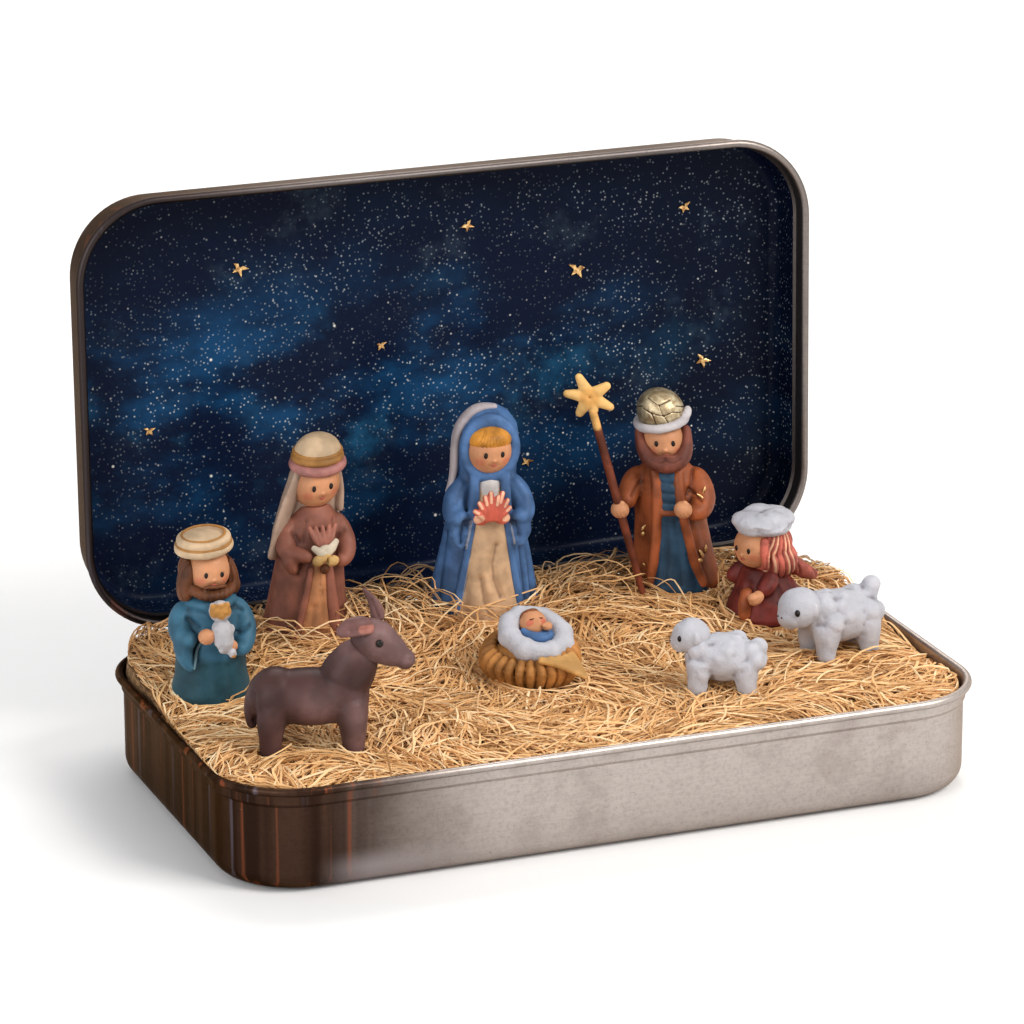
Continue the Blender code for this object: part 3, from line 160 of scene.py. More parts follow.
class Finish:
    """A Principled material whose nodes are written as sums."""

    def __init__(self, name, colour=(0.8, 0.8, 0.8), roughness=0.5, **constants):
        self.material = bpy.data.materials.new(name)
        self.material.use_nodes = True
        self.tree = self.material.node_tree
        self.shader = self.tree.nodes["Principled BSDF"]
        self.put(self.shader, {"Base Color": colour, "Roughness": roughness, **constants})

    def put(self, node, sockets):
        """Sets or links a node's input sockets."""
        for key, value in sockets.items():
            socket = node.inputs[key]
            if isinstance(value, Wire):
                self.tree.links.new(value.socket, socket)
            elif isinstance(value, (tuple, list)) and socket.type == "RGBA":
                socket.default_value = (*value[:3], 1.0)
            else:
                socket.default_value = value

    def node(self, kind, settings=None, sockets=None, out=0):
        """Adds one node: its settings first, then the values or links of its sockets."""
        node = self.tree.nodes.new(kind)
        for key, value in (settings or {}).items():
            if key == "stops":
                self.set_stops(node.color_ramp, value)
            else:
                setattr(node, key, value)
        self.put(node, sockets or {})
        return Wire(self, node.outputs[out])

    def set_stops(self, ramp, stops):
        """Gives a colour ramp its (place, colour) stops."""
        while len(ramp.elements) < len(stops):
            ramp.elements.new(1.0)
        for element, (place, colour) in zip(ramp.elements, stops):
            element.position = place
            element.color = (*colour, 1.0)

    def place(self, scale=(1.0, 1.0, 1.0)):
        """Where a point is on the object, in millimetres, stretched along an axis if asked."""
        where = self.node("ShaderNodeTexCoord", out="Object")
        return self.node("ShaderNodeMapping", {}, {"Vector": where, "Scale": tuple(s / MM for s in scale)})

    def axis(self, place, letter):
        """One coordinate of a place, as a number."""
        return self.node("ShaderNodeSeparateXYZ", {}, {0: place}, out=letter)

    def noise(self, place, size, detail=3.0, roughness=0.5):
        """Soft noise whose blotches are about size millimetres wide."""
        return self.node("ShaderNodeTexNoise", {}, {"Vector": place, "Scale": 1.0 / size, "Detail": detail,
                                                    "Roughness": roughness})

    def attribute(self, name):
        """A number that the mesh stores at each point."""
        return self.node("ShaderNodeAttribute", {"attribute_name": name}, out="Fac")

    def mix(self, mask, first, second, how="MIX"):
        """First where the mask is 0, second where it is 1."""
        return self.node("ShaderNodeMix", {"data_type": "RGBA", "blend_type": how},
            {0: mask, 6: first, 7: second},
                         out=2)

    def tinted(self, mask, first, tone, tint):
        """First where the mask is 0, and a tone times a tint where it is 1."""
        return self.mix(mask, first, self.mix(1.0, tone, tint, "MULTIPLY"))

    def bump(self, height, depth, strength=1.0):
        """Raises the surface in the light by up to depth millimetres."""
        self.put(self.shader, {"Normal": self.node("ShaderNodeBump", {}, {
            "Height": height, "Distance": depth * MM, "Strength": strength})})

    def wear(self, *objects):
        """Gives this material to objects."""
        for obj in objects:
            obj.data.materials.clear()
            obj.data.materials.append(self.material)


print("shader helpers ready")

# %% [markdown]
# The backdrop is white to the camera and to glossy metal, and gives only a soft light to the figures.
# Light Path tells which ray is asking. The floor is a pale plane that keeps the tin's shadow.

# %% World and floor
AMBIENT = 0.45
FLOOR_SIZE = 6.0
FLOOR_GAP = 0.0002
world = bpy.data.worlds.new("studio")
world.use_nodes = True
bpy.context.scene.world = world
nodes, links = world.node_tree.nodes, world.node_tree.links
path = nodes.new("ShaderNodeLightPath")
seen = nodes.new("ShaderNodeMath")
seen.operation = "MAXIMUM"
links.new(path.outputs["Is Camera Ray"], seen.inputs[0])
links.new(path.outputs["Is Glossy Ray"], seen.inputs[1])
level = nodes.new("ShaderNodeMapRange")
level.inputs["To Min"].default_value = AMBIENT
level.inputs["To Max"].default_value = 1.0
links.new(seen.outputs[0], level.inputs["Value"])
links.new(level.outputs[0], nodes["Background"].inputs["Strength"])
nodes["Background"].inputs["Color"].default_value = (1.0, 1.0, 1.0, 1.0)

floor_finish = Finish("pale_paper", (0.93, 0.93, 0.93), 0.9)
grain = floor_finish.noise(floor_finish.place(), 6.0)
paper = floor_finish.mix(grain, (0.94, 0.94, 0.94), (0.92, 0.92, 0.92))
floor_finish.put(floor_finish.shader, {"Base Color": paper})
bpy.ops.mesh.primitive_plane_add(size=FLOOR_SIZE, location=(0.0, 0.0, -FLOOR_GAP))
floor = bpy.context.object
floor.name = "floor"
floor_finish.wear(floor)
floor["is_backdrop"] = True
print("floor and world ready")

# %% [markdown]
# ## Working by hand, in code
#
# Every piece starts from a primitive and is shaped with the same operators that a person would use.
# Two small helpers keep this safe: one deselects all, because an operator acts on whatever is selected,
# and one moves the finished place into the mesh, so that patterns and the export stay put.

# %% Hands
def deselect():
    """Leaves nothing selected, in object mode."""
    if bpy.context.mode != "OBJECT":
        bpy.ops.object.mode_set(mode="OBJECT")
    bpy.ops.object.select_all(action="DESELECT")


def pick(*objects):
    """Selects just these objects, the first one active."""
    deselect()
    for obj in objects:
        obj.select_set(True)
    bpy.context.view_layer.objects.active = objects[0]


def settle(obj, name):
    """Names a piece and moves its place, turn and size into its mesh."""
    pick(obj)
    bpy.ops.object.transform_apply(location=True, rotation=True, scale=True)
    obj.name = name
    obj.data.name = name
    return obj


def modify(obj, kind, **settings):
    """Adds a modifier and applies it at once."""
    pick(obj)
    step = obj.modifiers.new(kind.lower(), kind)
    for key, value in settings.items():
        setattr(step, key, value)
    bpy.ops.object.modifier_apply(modifier=step.name)


def join(name, objects):
    """Makes several objects one."""
    pick(*objects)
    if len(objects) > 1:
        bpy.ops.object.join()
    return settle(bpy.context.object, name)


def turn_outwards():
    """Makes all faces of the active mesh look outwards."""
    bpy.ops.object.mode_set(mode="EDIT")
    bpy.ops.mesh.select_all(action="SELECT")
    bpy.ops.mesh.normals_make_consistent(inside=False)
    bpy.ops.object.mode_set(mode="OBJECT")


def points_of(obj):
    """A mesh's points as an array."""
    co = np.empty(3 * len(obj.data.vertices))
    obj.data.vertices.foreach_get("co", co)
    return co.reshape(-1, 3)


def move_points(obj, co):
    """Puts changed points back in a mesh."""
    obj.data.vertices.foreach_set("co", np.asarray(co, float).ravel())
    obj.data.update()


def set_values(obj, name, values):
    """Stores one number at each point, for a material to read."""
    layer = obj.data.attributes.get(name) or obj.data.attributes.new(name, "FLOAT", "POINT")
    layer.data.foreach_set("value", np.asarray(values, np.float32))


def shade(obj, angle=35):
    """Smooth shading that keeps the real corners."""
    pick(obj)
    bpy.ops.object.shade_smooth_by_angle(angle=math.radians(angle))


def finish_piece(obj, body, finish, slot, *nodes):
    """Gives a piece its material, the body that it rides on, and the CAD nodes that it stands for."""
    if finish is not None:
        finish.wear(obj)
    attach(obj, body)
    if nodes:
        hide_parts(*nodes)


print("helpers ready")

# %% [markdown]
# ## The tin's brushed plate
#
# Tinplate is steel with a thin bright coat. Rolling leaves fine streaks along its length, and years in
# a pocket leave dull clouds and small pits. The streaks are noise that is stretched along X, which the
# Bump node reads as height and the roughness as dull and bright lines. Towards the left end the plate
# is painted dark and brown, with upright dark, amber and mauve bars round the corner, as a painted
# reflection of a dark, warm room. It is also painted darker along the foot and at the rear as shade,
# and paler low down towards the left as a painted reflection.


# %% Brushed plate
WARM_STEEL = {"Specular Tint": (0.62, 0.53, 0.46, 1.0)}
# Painted reflection colours: the dark, amber and mauve upright bars round the left corner.
CORNER_DARK_REFLECTION, CORNER_AMBER_REFLECTION, MAUVE_SHEEN = (0.018, 0.009, 0.006), (0.21, 0.060, 0.028), (0.12, 0.10, 0.12)
# Painted shade along the foot, a paler painted reflection low towards the left, and painted shade at the
# rear.
FOOT_SHADE, FOOT_REFLECTION_GREY, REAR_SHADE_GREY = (0.10, 0.08, 0.07), (0.38, 0.33, 0.33), (0.045, 0.040, 0.042)


def brushed_plate(name, warm, bright, left_reflection, clouds=6.0, polish=0.30):
    """Brushed, smudged and pitted tinplate, bright on the right and painted dark and brown towards the left
    end as a reflection.
    """
    plate = Finish(name, Metallic=1.0, **WARM_STEEL)
    where = plate.place()
    streaks = plate.noise(plate.place((0.05, 0.05, 1.0)), 0.14, 4.0, 0.6)
    columns = plate.noise(plate.place((1.0, 1.0, 0.02)), 3.4, 2.5, 0.5)
    stripes = plate.noise(plate.place((1.3, 1.0, 0.03)), 2.1, 3.0, 0.55)
    speck = plate.noise(where, 0.45, 4.0, 0.7)
    cloud = plate.noise(where, clouds, 5.0, 0.62)
    pits = plate.noise(where, 0.3, 2.0, 0.5).over(0.68, 0.75)
    left = 1 - plate.axis(where, "X").over(-38.0, -12.0)
    corner = 1 - plate.axis(where, "X").over(-38.0, -26.0)
    low = 1 - plate.axis(where, "Z").over(0.5, 6.0)
    foot = (1 - plate.axis(where, "Z").over(2.0, 4.8)) * plate.axis(where, "X").over(-38.0, -30.0) * left
    # Painted reflection: the plate turns dark and brown towards the left end.
    tone = plate.mix(left, bright, left_reflection)
    brushed = plate.tinted(streaks.over(0.25, 0.75) * 0.25, tone, tone, (1.6, 1.6, 1.6))
    speckled = plate.tinted(speck.over(0.42, 0.72) * 0.30, brushed, tone, (0.5, 0.45, 0.42))
    smudged = plate.tinted(cloud.over(0.44, 0.70) * 0.26 * warm, speckled, tone, (0.4, 0.34, 0.3))
    # Painted reflection: upright dark, amber and mauve bars round the left corner.
    barred = plate.mix(columns.over(0.40, 0.60) * corner * warm * 0.85, smudged, CORNER_DARK_REFLECTION)
    amber = plate.mix(stripes.over(0.56, 0.68) * corner * warm * 0.9, barred, CORNER_AMBER_REFLECTION)
    mauve = plate.mix((1 - stripes.over(0.30, 0.42)) * corner * warm * 0.6, amber, MAUVE_SHEEN)
    dimmed = plate.mix(low * 0.15 * (1 - left), mauve, FOOT_SHADE)
    # Painted reflection: paler low down towards the left end.
    foot_reflected = plate.mix(foot * 0.8 * warm, dimmed, FOOT_REFLECTION_GREY)
    # Painted shade: the plate is darker along the rear.
    rear_shade_mask = plate.axis(where, "Y").over(19.0, 25.0) * (1 - plate.axis(where, "X").over(26.0, 40.0)) * warm
    rear_shaded = plate.mix(rear_shade_mask * 0.85, foot_reflected, REAR_SHADE_GREY)
    pitted = plate.tinted(pits * 0.5, rear_shaded, rear_shaded, (0.3, 0.26, 0.24))
    rough = polish + 0.12 * streaks + 0.14 * cloud + 0.2 * pits
    plate.put(plate.shader, {"Base Color": pitted, "Roughness": rough})
    plate.bump(streaks * 0.5 - pits * 0.5, 0.015, 0.4)
    return plate


tray_plate = brushed_plate("tray_plate", 1.0, (0.43, 0.38, 0.35), (0.050, 0.026, 0.017))
# The lid's plate is a darker copy of the tray's plate: its darkness is a painted dark reflection.
lid_plate = brushed_plate("lid_plate", 0.7, (0.21, 0.18, 0.165), (0.028, 0.014, 0.008), 9.0, 0.26)
print("plate finishes ready")

# %% [markdown]
# ## The two pans
#
# Tray and lid are the same kind of pressing: a flat panel, a rounded foot, a wall, a step out to a narrow
# band, and an edge that is curled outwards into a bead. The easiest way to get one even section all the
# way round is to sweep it. A plane's corners are bevelled to make the outline, the outline becomes a
# curve, and the section is given to it as its bevel object. The flat panels are then filled in.

# %% Sizes of the pressings
TIN_LENGTH, TIN_DEPTH, TIN_CORNER = 0.095, 0.0535, 0.0105
TRAY_HEIGHT, LID_HEIGHT = 0.0128, 0.0076
TRAY_FOOT, LID_FOOT = 0.0022, 0.0016
SHEET, BEAD = 0.0003, 0.0005
BAND_INSET, WALL_INSET = 0.0007, 0.00095
BAND_HEIGHT, STEP_HEIGHT = 0.0015, 0.0004
HINGE_Y, HINGE_Z, LID_LEAN = 0.02776, 0.01295, 1.5
RIM_GAP, WELD = 0.0003, 0.000001


def arc(across, up, radius, start, end, count):
    """Points along an arc, in degrees."""
    turns = np.radians(np.linspace(start, end, count))
    return [(across + radius * math.cos(a), up + radius * math.sin(a)) for a in turns]


def pan_section(height, foot):
    """The closed section of a pan's wall, as (inset, height) points from panel edge to panel edge."""
    step = height - 2 * BEAD - BAND_HEIGHT
    outer = arc(WALL_INSET + foot, foot, foot, 270, 180, 9)
    outer += [(WALL_INSET, step), (BAND_INSET, step + STEP_HEIGHT), (BAND_INSET, height - 2 * BEAD)]
    outer += arc(BEAD, height - BEAD, BEAD, -66, -360, 17)
    inner = [(BAND_INSET + SHEET, step + STEP_HEIGHT)]
    inner += [(WALL_INSET + SHEET, step)]
    inner += arc(WALL_INSET + foot, foot, foot - SHEET, 180, 270, 9)
    return outer + inner


# %% Sweeping a section round the outline
def outline_curve(name):
    """The tin's rounded rectangle as a closed curve."""
    deselect()
    bpy.ops.mesh.primitive_plane_add(size=1.0)
    outline = bpy.context.object
    outline.scale = (TIN_LENGTH, TIN_DEPTH, 1.0)
    settle(outline, name)
    bpy.ops.object.mode_set(mode="EDIT")
    bpy.ops.mesh.select_all(action="SELECT")
    bpy.ops.mesh.bevel(affect="VERTICES", offset=TIN_CORNER, segments=18, offset_type="OFFSET")
    bpy.ops.mesh.delete(type="ONLY_FACE")
    bpy.ops.object.mode_set(mode="OBJECT")
    bpy.ops.object.convert(target="CURVE")
    return bpy.context.object


def section_curve(points):
    """A section as a flat open curve. Its X runs outwards from the outline, so the inset is negated."""
    deselect()
    bpy.ops.curve.primitive_nurbs_path_add()
    section = bpy.context.object
    section.data.dimensions = "2D"
    section.data.splines.clear()
    line = section.data.splines.new("POLY")
    line.points.add(len(points) - 1)
    for point, (across, up) in zip(line.points, points):
        point.co = (-across, up, 0.0, 1.0)
    return section


def pressed_pan(name, height, foot):
    """A pan that opens upwards: its section is swept round the outline and its two panels are filled."""
    outline = outline_curve(name)
    section = section_curve(pan_section(height, foot))
    outline.data.dimensions = "3D"
    outline.data.twist_mode = "Z_UP"
    outline.data.bevel_mode = "OBJECT"
    outline.data.bevel_object = section
    outline.data.use_fill_caps = False
    pick(outline)
    bpy.ops.object.convert(target="MESH")
    pan = bpy.context.object
    bpy.data.objects.remove(section)
    bpy.ops.object.mode_set(mode="EDIT")
    bpy.ops.mesh.select_all(action="SELECT")
    bpy.ops.mesh.remove_doubles(threshold=WELD)
    bpy.ops.mesh.fill_holes(sides=0)
    turn_outwards()
    return settle(pan, name)


tray = pressed_pan("tray_pan", TRAY_HEIGHT, TRAY_FOOT)
co = points_of(tray)
print("tray pan:", len(co), "points", co.min(0).round(5), co.max(0).round(5))


# %% Tray and lid
def lid_place():
    """Turns the pan over onto its hinge line and swings it open to rest on its stop."""
    over = Matrix.Translation((0.0, -HINGE_Y, LID_HEIGHT + 0.5 * RIM_GAP)) @ Matrix.Rotation(math.pi, 4,
        "X")
    swing = Matrix.Rotation(-math.radians(90.0 + LID_LEAN), 4, "X")
    return Matrix.Translation((0.0, HINGE_Y, HINGE_Z)) @ swing @ over


lid = pressed_pan("lid_pan", LID_HEIGHT, LID_FOOT)
centres = np.array([face.center for face in lid.data.polygons])
normals = np.array([face.normal for face in lid.data.polygons])
# The outer panel's inward value is a rounding remainder just over zero, so the panel is painted too. That
# was not meant: only the inside should be.
inward = -(centres[:, 0] * normals[:, 0] + centres[:, 1] * normals[:, 1])
floor_inside = (normals[:, 2] > 0.9) & (centres[:, 2] < 2 * SHEET)
wall_inside = (inward > 0.0) & (centres[:, 2] < LID_HEIGHT - 2 * BEAD - BAND_HEIGHT)
painted = floor_inside | wall_inside
lid.data.transform(lid_place())
print("lid faces:", len(painted), "painted:", int(painted.sum()))
for pan in (tray, lid):
    shade(pan, 30)

# %% [markdown]
# ## The night sky
#
# The inside of the lid is painted deep navy, with brighter blue clouds across the middle, a few warm
# milky patches and thousands of fine sprayed specks. The clouds are soft noise. The specks come from a
# Voronoi pattern, which scatters one point in each cell: a speck is drawn where the distance to that
# point is small, and the cell's random colour decides whether it is drawn, and how bright. Three sizes
# of cell give dust, small stars and a few larger ones. The paint has a hard gloss.


# %% Sky paint
def specks(paint, where, cell, radius, share):
    """Sprayed dots: one for each cell of the pattern, but only in a share of the cells."""
    settings = {"voronoi_dimensions": "3D", "feature": "F1"}
    near = paint.node("ShaderNodeTexVoronoi", settings, {"Vector": where, "Scale": 1.0 / cell})
    chance = paint.node("ShaderNodeTexVoronoi", settings, {"Vector": where, "Scale": 1.0 / cell},
        out="Color")
    draw = paint.node("ShaderNodeSeparateColor", {}, {0: chance}, out=0)
    size = paint.node("ShaderNodeSeparateColor", {}, {0: chance}, out=1)
    dot = 1 - near.over(0.25 * radius / cell, radius / cell)
    return dot * draw.over(1.0 - share, 1.02 - share) * (0.35 + 0.65 * size)


sky = Finish("night_sky_paint", (0.004, 0.01, 0.03), 0.2, **{"Specular IOR Level": 0.04})
where = sky.place()
flat = sky.place((1.0, 0.05, 1.0))
x, z = sky.axis(where, "X"), sky.axis(where, "Z")
warp = sky.noise(flat, 15.0, 6.0, 0.62)
cloud = sky.noise(sky.place((0.55, 0.05, 1.0)), 11.0, 8.0, 0.62)
middle = z.over(17.0, 34.0) * (1 - z.over(40.0, 60.0))
open_sky = (1 - x.over(2.0, 36.0) * 0.82) * (1 - z.over(42.0, 62.0) * 0.7)
glow = cloud.over(0.42, 0.72) * (0.25 + 0.75 * middle) * open_sky
deep = sky.mix(open_sky, (0.0022, 0.0042, 0.013), (0.0035, 0.0075, 0.024))
deep = sky.mix(glow, deep, (0.008, 0.062, 0.160))
deep = sky.mix(warp.over(0.52, 0.76) * middle * 0.8 * open_sky, deep, (0.018, 0.115, 0.235))
milk = sky.noise(flat, 6.5, 8.0, 0.7).over(0.52, 0.76) * warp.over(0.40, 0.60)
dusty = sky.mix(milk * 0.12, deep, (0.16, 0.24, 0.30))
crowd = (0.22 + 0.78 * cloud.over(0.38, 0.60)) * (0.45 + 0.55 * middle) + 0.5 * milk
dust = specks(sky, where, 0.50, 0.16, 0.75) * crowd
stars = specks(sky, where, 1.15, 0.18, 0.36) * (0.35 + 0.65 * middle)
bright = specks(sky, where, 4.1, 0.27, 0.22)
lit = sky.mix(dust * 0.85, dusty, (0.50, 0.56, 0.60))
lit = sky.mix(stars, lit, (0.74, 0.74, 0.70))
lit = sky.mix(bright, lit, (0.90, 0.88, 0.80))
blot = sky.noise(where, 1.4, 3.0, 0.6)
sky.put(sky.shader, {"Base Color": lit, "Roughness": 0.16 + 0.16 * blot})
sky.bump(blot + dust * 0.4 + stars * 0.6 + bright * 0.8, 0.02, 0.35)

tray_plate.wear(tray)
lid_plate.wear(lid)
lid.data.materials.append(sky.material)
for face, is_painted in zip(lid.data.polygons, painted):
    face.material_index = int(is_painted)
finish_piece(tray, "tin_base", None, "tinplate", "base_tray")
finish_piece(lid, "lid", None, "tinplate", "lid_shell")
print("tin dressed")

# %% [markdown]
# ## Gold flakes on the sky
#
# A few little stars of gold leaf are stuck to the painted lid. Real flakes are thin, ragged and a bit
# crumpled, so each one starts as a circle of ten points. Every other point is drawn in, all points are
# jogged, and a thin wall with a soft edge is added. They lie on the paint and ride on the lid.

# %% Flake stars
FLAKE_POINTS, FLAKE_THICK, FLAKE_LIFT = 10, 0.14 * MM, 0.11 * MM
rng = np.random.default_rng(12)
flake_gold = Finish("gold_flake", (0.72, 0.44, 0.17), 0.34, Metallic=0.75)
crumple = flake_gold.noise(flake_gold.place(), 0.5, 4.0)
flake_gold.put(flake_gold.shader, {
    "Base Color": flake_gold.mix(crumple.over(0.35, 0.65), (0.34, 0.16, 0.05), (0.86, 0.56, 0.24))})
flake_gold.bump(crumple, 0.06)

LID_FACE = Matrix.Translation((0.0, HINGE_Y, HINGE_Z)) @ Matrix.Rotation(-math.radians(LID_LEAN), 4, "X")
LID_PANEL_Y = LID_HEIGHT + 0.5 * RIM_GAP - SHEET


def flake(x, up, size, turn):
    """One ragged five-pointed flake at a place on the lid's painted panel."""
    deselect()
    bpy.ops.mesh.primitive_circle_add(vertices=FLAKE_POINTS, radius=1.0, fill_type="TRIFAN")
    star = bpy.context.object
    co = points_of(star)
    reach = np.where(np.arange(len(co)) % 2 == 0, 1.0, 0.42) * rng.uniform(0.75, 1.15, len(co))
    reach[-1] = 0.0
    co[:, :2] *= reach[:, None]
    co[:, 2] = rng.uniform(0.0, 0.14, len(co))
    move_points(star, co * size)
    modify(star, "SOLIDIFY", thickness=FLAKE_THICK, offset=0.0)
    modify(star, "SUBSURF", subdivision_type="SIMPLE", levels=1, render_levels=1)
    lie = Matrix.Translation((x, LID_PANEL_Y - FLAKE_LIFT, up)) @ Matrix.Rotation(math.radians(90), 4, "X")
    star.data.transform(LID_FACE @ lie @ Matrix.Rotation(math.radians(turn), 4, "Z"))
    return star


FLAKES = ((-25.0, 43.0, 1.15, 10), (-7.0, 31.5, 0.75, 40), (4.5, 45.5, 0.9, 70), (19.0, 38.5, 1.2, 25),
          (33.5, 45.0, 0.95, 55), (36.0, 25.0, 1.05, 5), (-37.0, 24.0, 0.9, 33), (-14.0, 16.0, 0.95, 62),
          (12.0, 14.5, 0.8, 15))
flakes = join("sky_flakes", [flake(x * MM, up * MM, size * MM, turn) for x, up, size, turn in FLAKES])
finish_piece(flakes, "lid", flake_gold, "gold_leaf")
print("flakes:", len(FLAKES))

# %% [markdown]
# ## The straw
#
# The bed is thousands of fine curled shreds. Each shred is the same small three-sided tube, bent along
# its own line: it starts at a random place, heads roughly the way that its neighbours do, curls a little,
# rises in its middle and dips at its ends. Points that land inside a figure's foot are pushed out to its
# edge, and none may reach the tin's wall. All lines are worked out together as arrays, because
# thousands of separate operators would take minutes. Under them lies a matted bed, painted dark as the
# shade deep in the straw.

# %% Where the straw lies
# The bed in millimetres: half its length and depth, its corner, its level, and the heap by the lid.
BED_X, BED_Y, BED_CORNER = 46.0, 25.2, 9.0
LEVEL, HEAP, HEAP_START, HEAP_RUN = 12.0, 3.0, -6.0, 24.0
MAT_THICK, MAT_SINK, FOOT_ROOM = 2.0, 0.75, 0.15

# Each foot is an oval: its middle, its turn and its two half widths.
FEET = [(-39.3, 6.2, -5.0, 4.6, 4.0), (-23.5, 18.5, 0.0, 5.5, 4.8), (-23.5, 14.5, 0.0, 2.6, 1.4),
        (-0.3, 18.7, -12.0, 7.1, 5.0), (-0.8, 17.0, -12.0, 4.7, 4.9), (25.3, 18.7, -22.0, 5.7, 5.2),
        (32.5, 7.5, -82.0, 4.9, 5.6), (-1.3, -1.8, -38.0, 6.0, 4.9)]


def leg_feet(x, y, turn, across, along, radius):
    """The footprints of four legs."""
    a = math.radians(turn)
    spots = []
    for i in (-1, 1):
        for j in (-1, 1):
            u, v = i * across, j * along
            spots.append((x + u * math.cos(a) - v * math.sin(a), y + u * math.sin(a) + v * math.cos(a), 0.0,
                          radius, radius))
    return spots


FEET += leg_feet(-33.2, -12.5, 69.0, 1.9, 4.7, 1.8)
FEET += leg_feet(18.1, -11.9, -112.0, 1.7, 2.8, 1.35)
FEET += leg_feet(36.5, -5.0, -81.0, 1.9, 3.2, 1.5)


def straw_top(x, y):
    """Height of the bed, in millimetres: nearly level in front, heaped towards the lid."""
    t = np.clip((y - HEAP_START) / HEAP_RUN, 0.0, 1.0)
    edge = np.maximum(np.abs(x) / BED_X, np.abs(y) / BED_Y)
    tuft = 0.22 * np.sin(x / 3.1) * np.cos(y / 2.3 + x / 7.0)
    return LEVEL + HEAP * t * t * (3 - 2 * t) + tuft - 0.5 * np.clip(edge, 0, 1) ** 12


def keep_inside(x, y, room):
    """Pulls points in from the tin's rounded wall."""
    half_x, half_y, corner = BED_X - room, BED_Y - room, BED_CORNER - room
    dx = np.maximum(np.abs(x) - (half_x - corner), 0.0)
    dy = np.maximum(np.abs(y) - (half_y - corner), 0.0)
    reach = np.sqrt(dx * dx + dy * dy)
    pull = np.where(reach > corner, corner / np.maximum(reach, 1e-6), 1.0)
    x = np.sign(x) * (np.minimum(np.abs(x), half_x - corner) + dx * pull)
    y = np.sign(y) * (np.minimum(np.abs(y), half_y - corner) + dy * pull)
    return x, y


def keep_clear(x, y, room):
    """Pushes points out of the figures' feet and in from the tin's wall."""
    for cx, cy, turn, rx, ry in FEET:
        a = math.radians(turn)
        u = (x - cx) * math.cos(a) + (y - cy) * math.sin(a)
        v = (y - cy) * math.cos(a) - (x - cx) * math.sin(a)
        reach = np.sqrt((u / (rx + room)) ** 2 + (v / (ry + room)) ** 2)
        grow = np.where(reach < 1.0, 1.0 / np.maximum(reach, 0.05), 1.0)
        u, v = u * grow, v * grow
        x = cx + u * math.cos(a) - v * math.sin(a)
        y = cy + u * math.sin(a) + v * math.cos(a)
    return keep_inside(x, y, room)


# %% Shreds as arrays
STEPS = 9


def shred_lines(rng, count, low_y, high_y, low_x=-45.5, high_x=45.5, lift=(0.1, 0.7), layer=(-0.8, 0.25),
                length=(5.0, 13.0), curl=0.075):
    """Centre lines of shreds, as an array of (shred, step, xyz) in millimetres."""
    x = rng.uniform(low_x, high_x, (count, 1))
    y = rng.uniform(low_y, high_y, (count, 1))
    flow = 1.3 * np.sin(x / 9.0 + 1.0) + 1.1 * np.cos(y / 6.5 + x / 17.0) + 0.25
    heading = flow + rng.normal(0.0, 0.42, (count, 1)) + math.pi * rng.integers(0, 2, (count, 1))
    s = np.linspace(-0.5, 0.5, STEPS)[None, :]
    size = rng.uniform(*length, (count, 1))
    bend = rng.normal(0.0, curl, (count, 1)) * size + rng.normal(0.0, 1.6 * curl, (count, 1)) * size * s
    angle = heading + bend * s
    step = size / (STEPS - 1)
    px = x + np.cumsum(np.cos(angle), axis=1) * step - size * 0.5 * np.cos(heading)
    py = y + np.cumsum(np.sin(angle), axis=1) * step - size * 0.5 * np.sin(heading)
    px, py = keep_clear(px, py, FOOT_ROOM)
    rise = rng.uniform(*lift, (count, 1)) * (1 - 4 * s * s)
    wobble = 0.12 * np.sin(s * rng.uniform(4.0, 12.0, (count, 1)) + rng.uniform(0.0, 6.0, (count, 1)))
    pz = straw_top(px, py) + rng.uniform(*layer, (count, 1)) + rise + wobble
    return np.stack([px, py, pz], axis=2)


def shreds(name, lines, rng, thin=(0.055, 0.125)):
    """Three-sided tubes along the lines, with a random tone for each."""
    count = len(lines)
    ahead = np.gradient(lines, axis=1)
    ahead /= np.linalg.norm(ahead, axis=2, keepdims=True)
    side = np.cross(ahead, (0.0, 0.0, 1.0))
    side /= np.maximum(np.linalg.norm(side, axis=2, keepdims=True), 1e-6)
    over = np.cross(side, ahead)
    taper = 1 - 0.75 * np.abs(np.linspace(-1, 1, STEPS)) ** 6
    thick = rng.uniform(*thin, (count, 1, 1)) * taper[None, :, None]
    spin = rng.uniform(0.0, 2.0, (count, 1, 1))
    rings = []
    for corner in range(3):
        a = spin + 2 * math.pi * corner / 3
        rings.append(lines + thick * (1.5 * np.cos(a) * side + 0.8 * np.sin(a) * over))
    verts = np.stack(rings, axis=2).reshape(-1, 3) * MM
    first = (np.arange(count) * STEPS * 3)[:, None, None]
    ring = (np.arange(STEPS - 1) * 3)[None, :, None]
    turn = np.arange(3)[None, None, :]
    after = (turn + 1) % 3
    here = first + ring
    quads = np.stack([here + turn, here + after, here + 3 + after, here + 3 + turn], axis=3).reshape(-1, 4)
    start = np.arange(count)[:, None] * STEPS * 3
    ends = np.concatenate([start + np.array([[2, 1, 0]]), start + 3 * (STEPS - 1) + np.array([[0, 1, 2]])])
    mesh = bpy.data.meshes.new(name)
    mesh.from_pydata(verts.tolist(), [], quads.tolist() + ends.tolist())
    obj = bpy.data.objects.new(name, mesh)
    bpy.context.scene.collection.objects.link(obj)
    set_values(obj, "tone", np.repeat(rng.uniform(0.0, 1.0, count), STEPS * 3))
    return obj


# %% [markdown]
# Straw is a pale gold skin over a darker pith, and no two shreds are alike: each has its own tone, which
# is stored on its points. Towards the lid the heap lies in shade, so it is painted darker and browner
# along Y as painted shade.

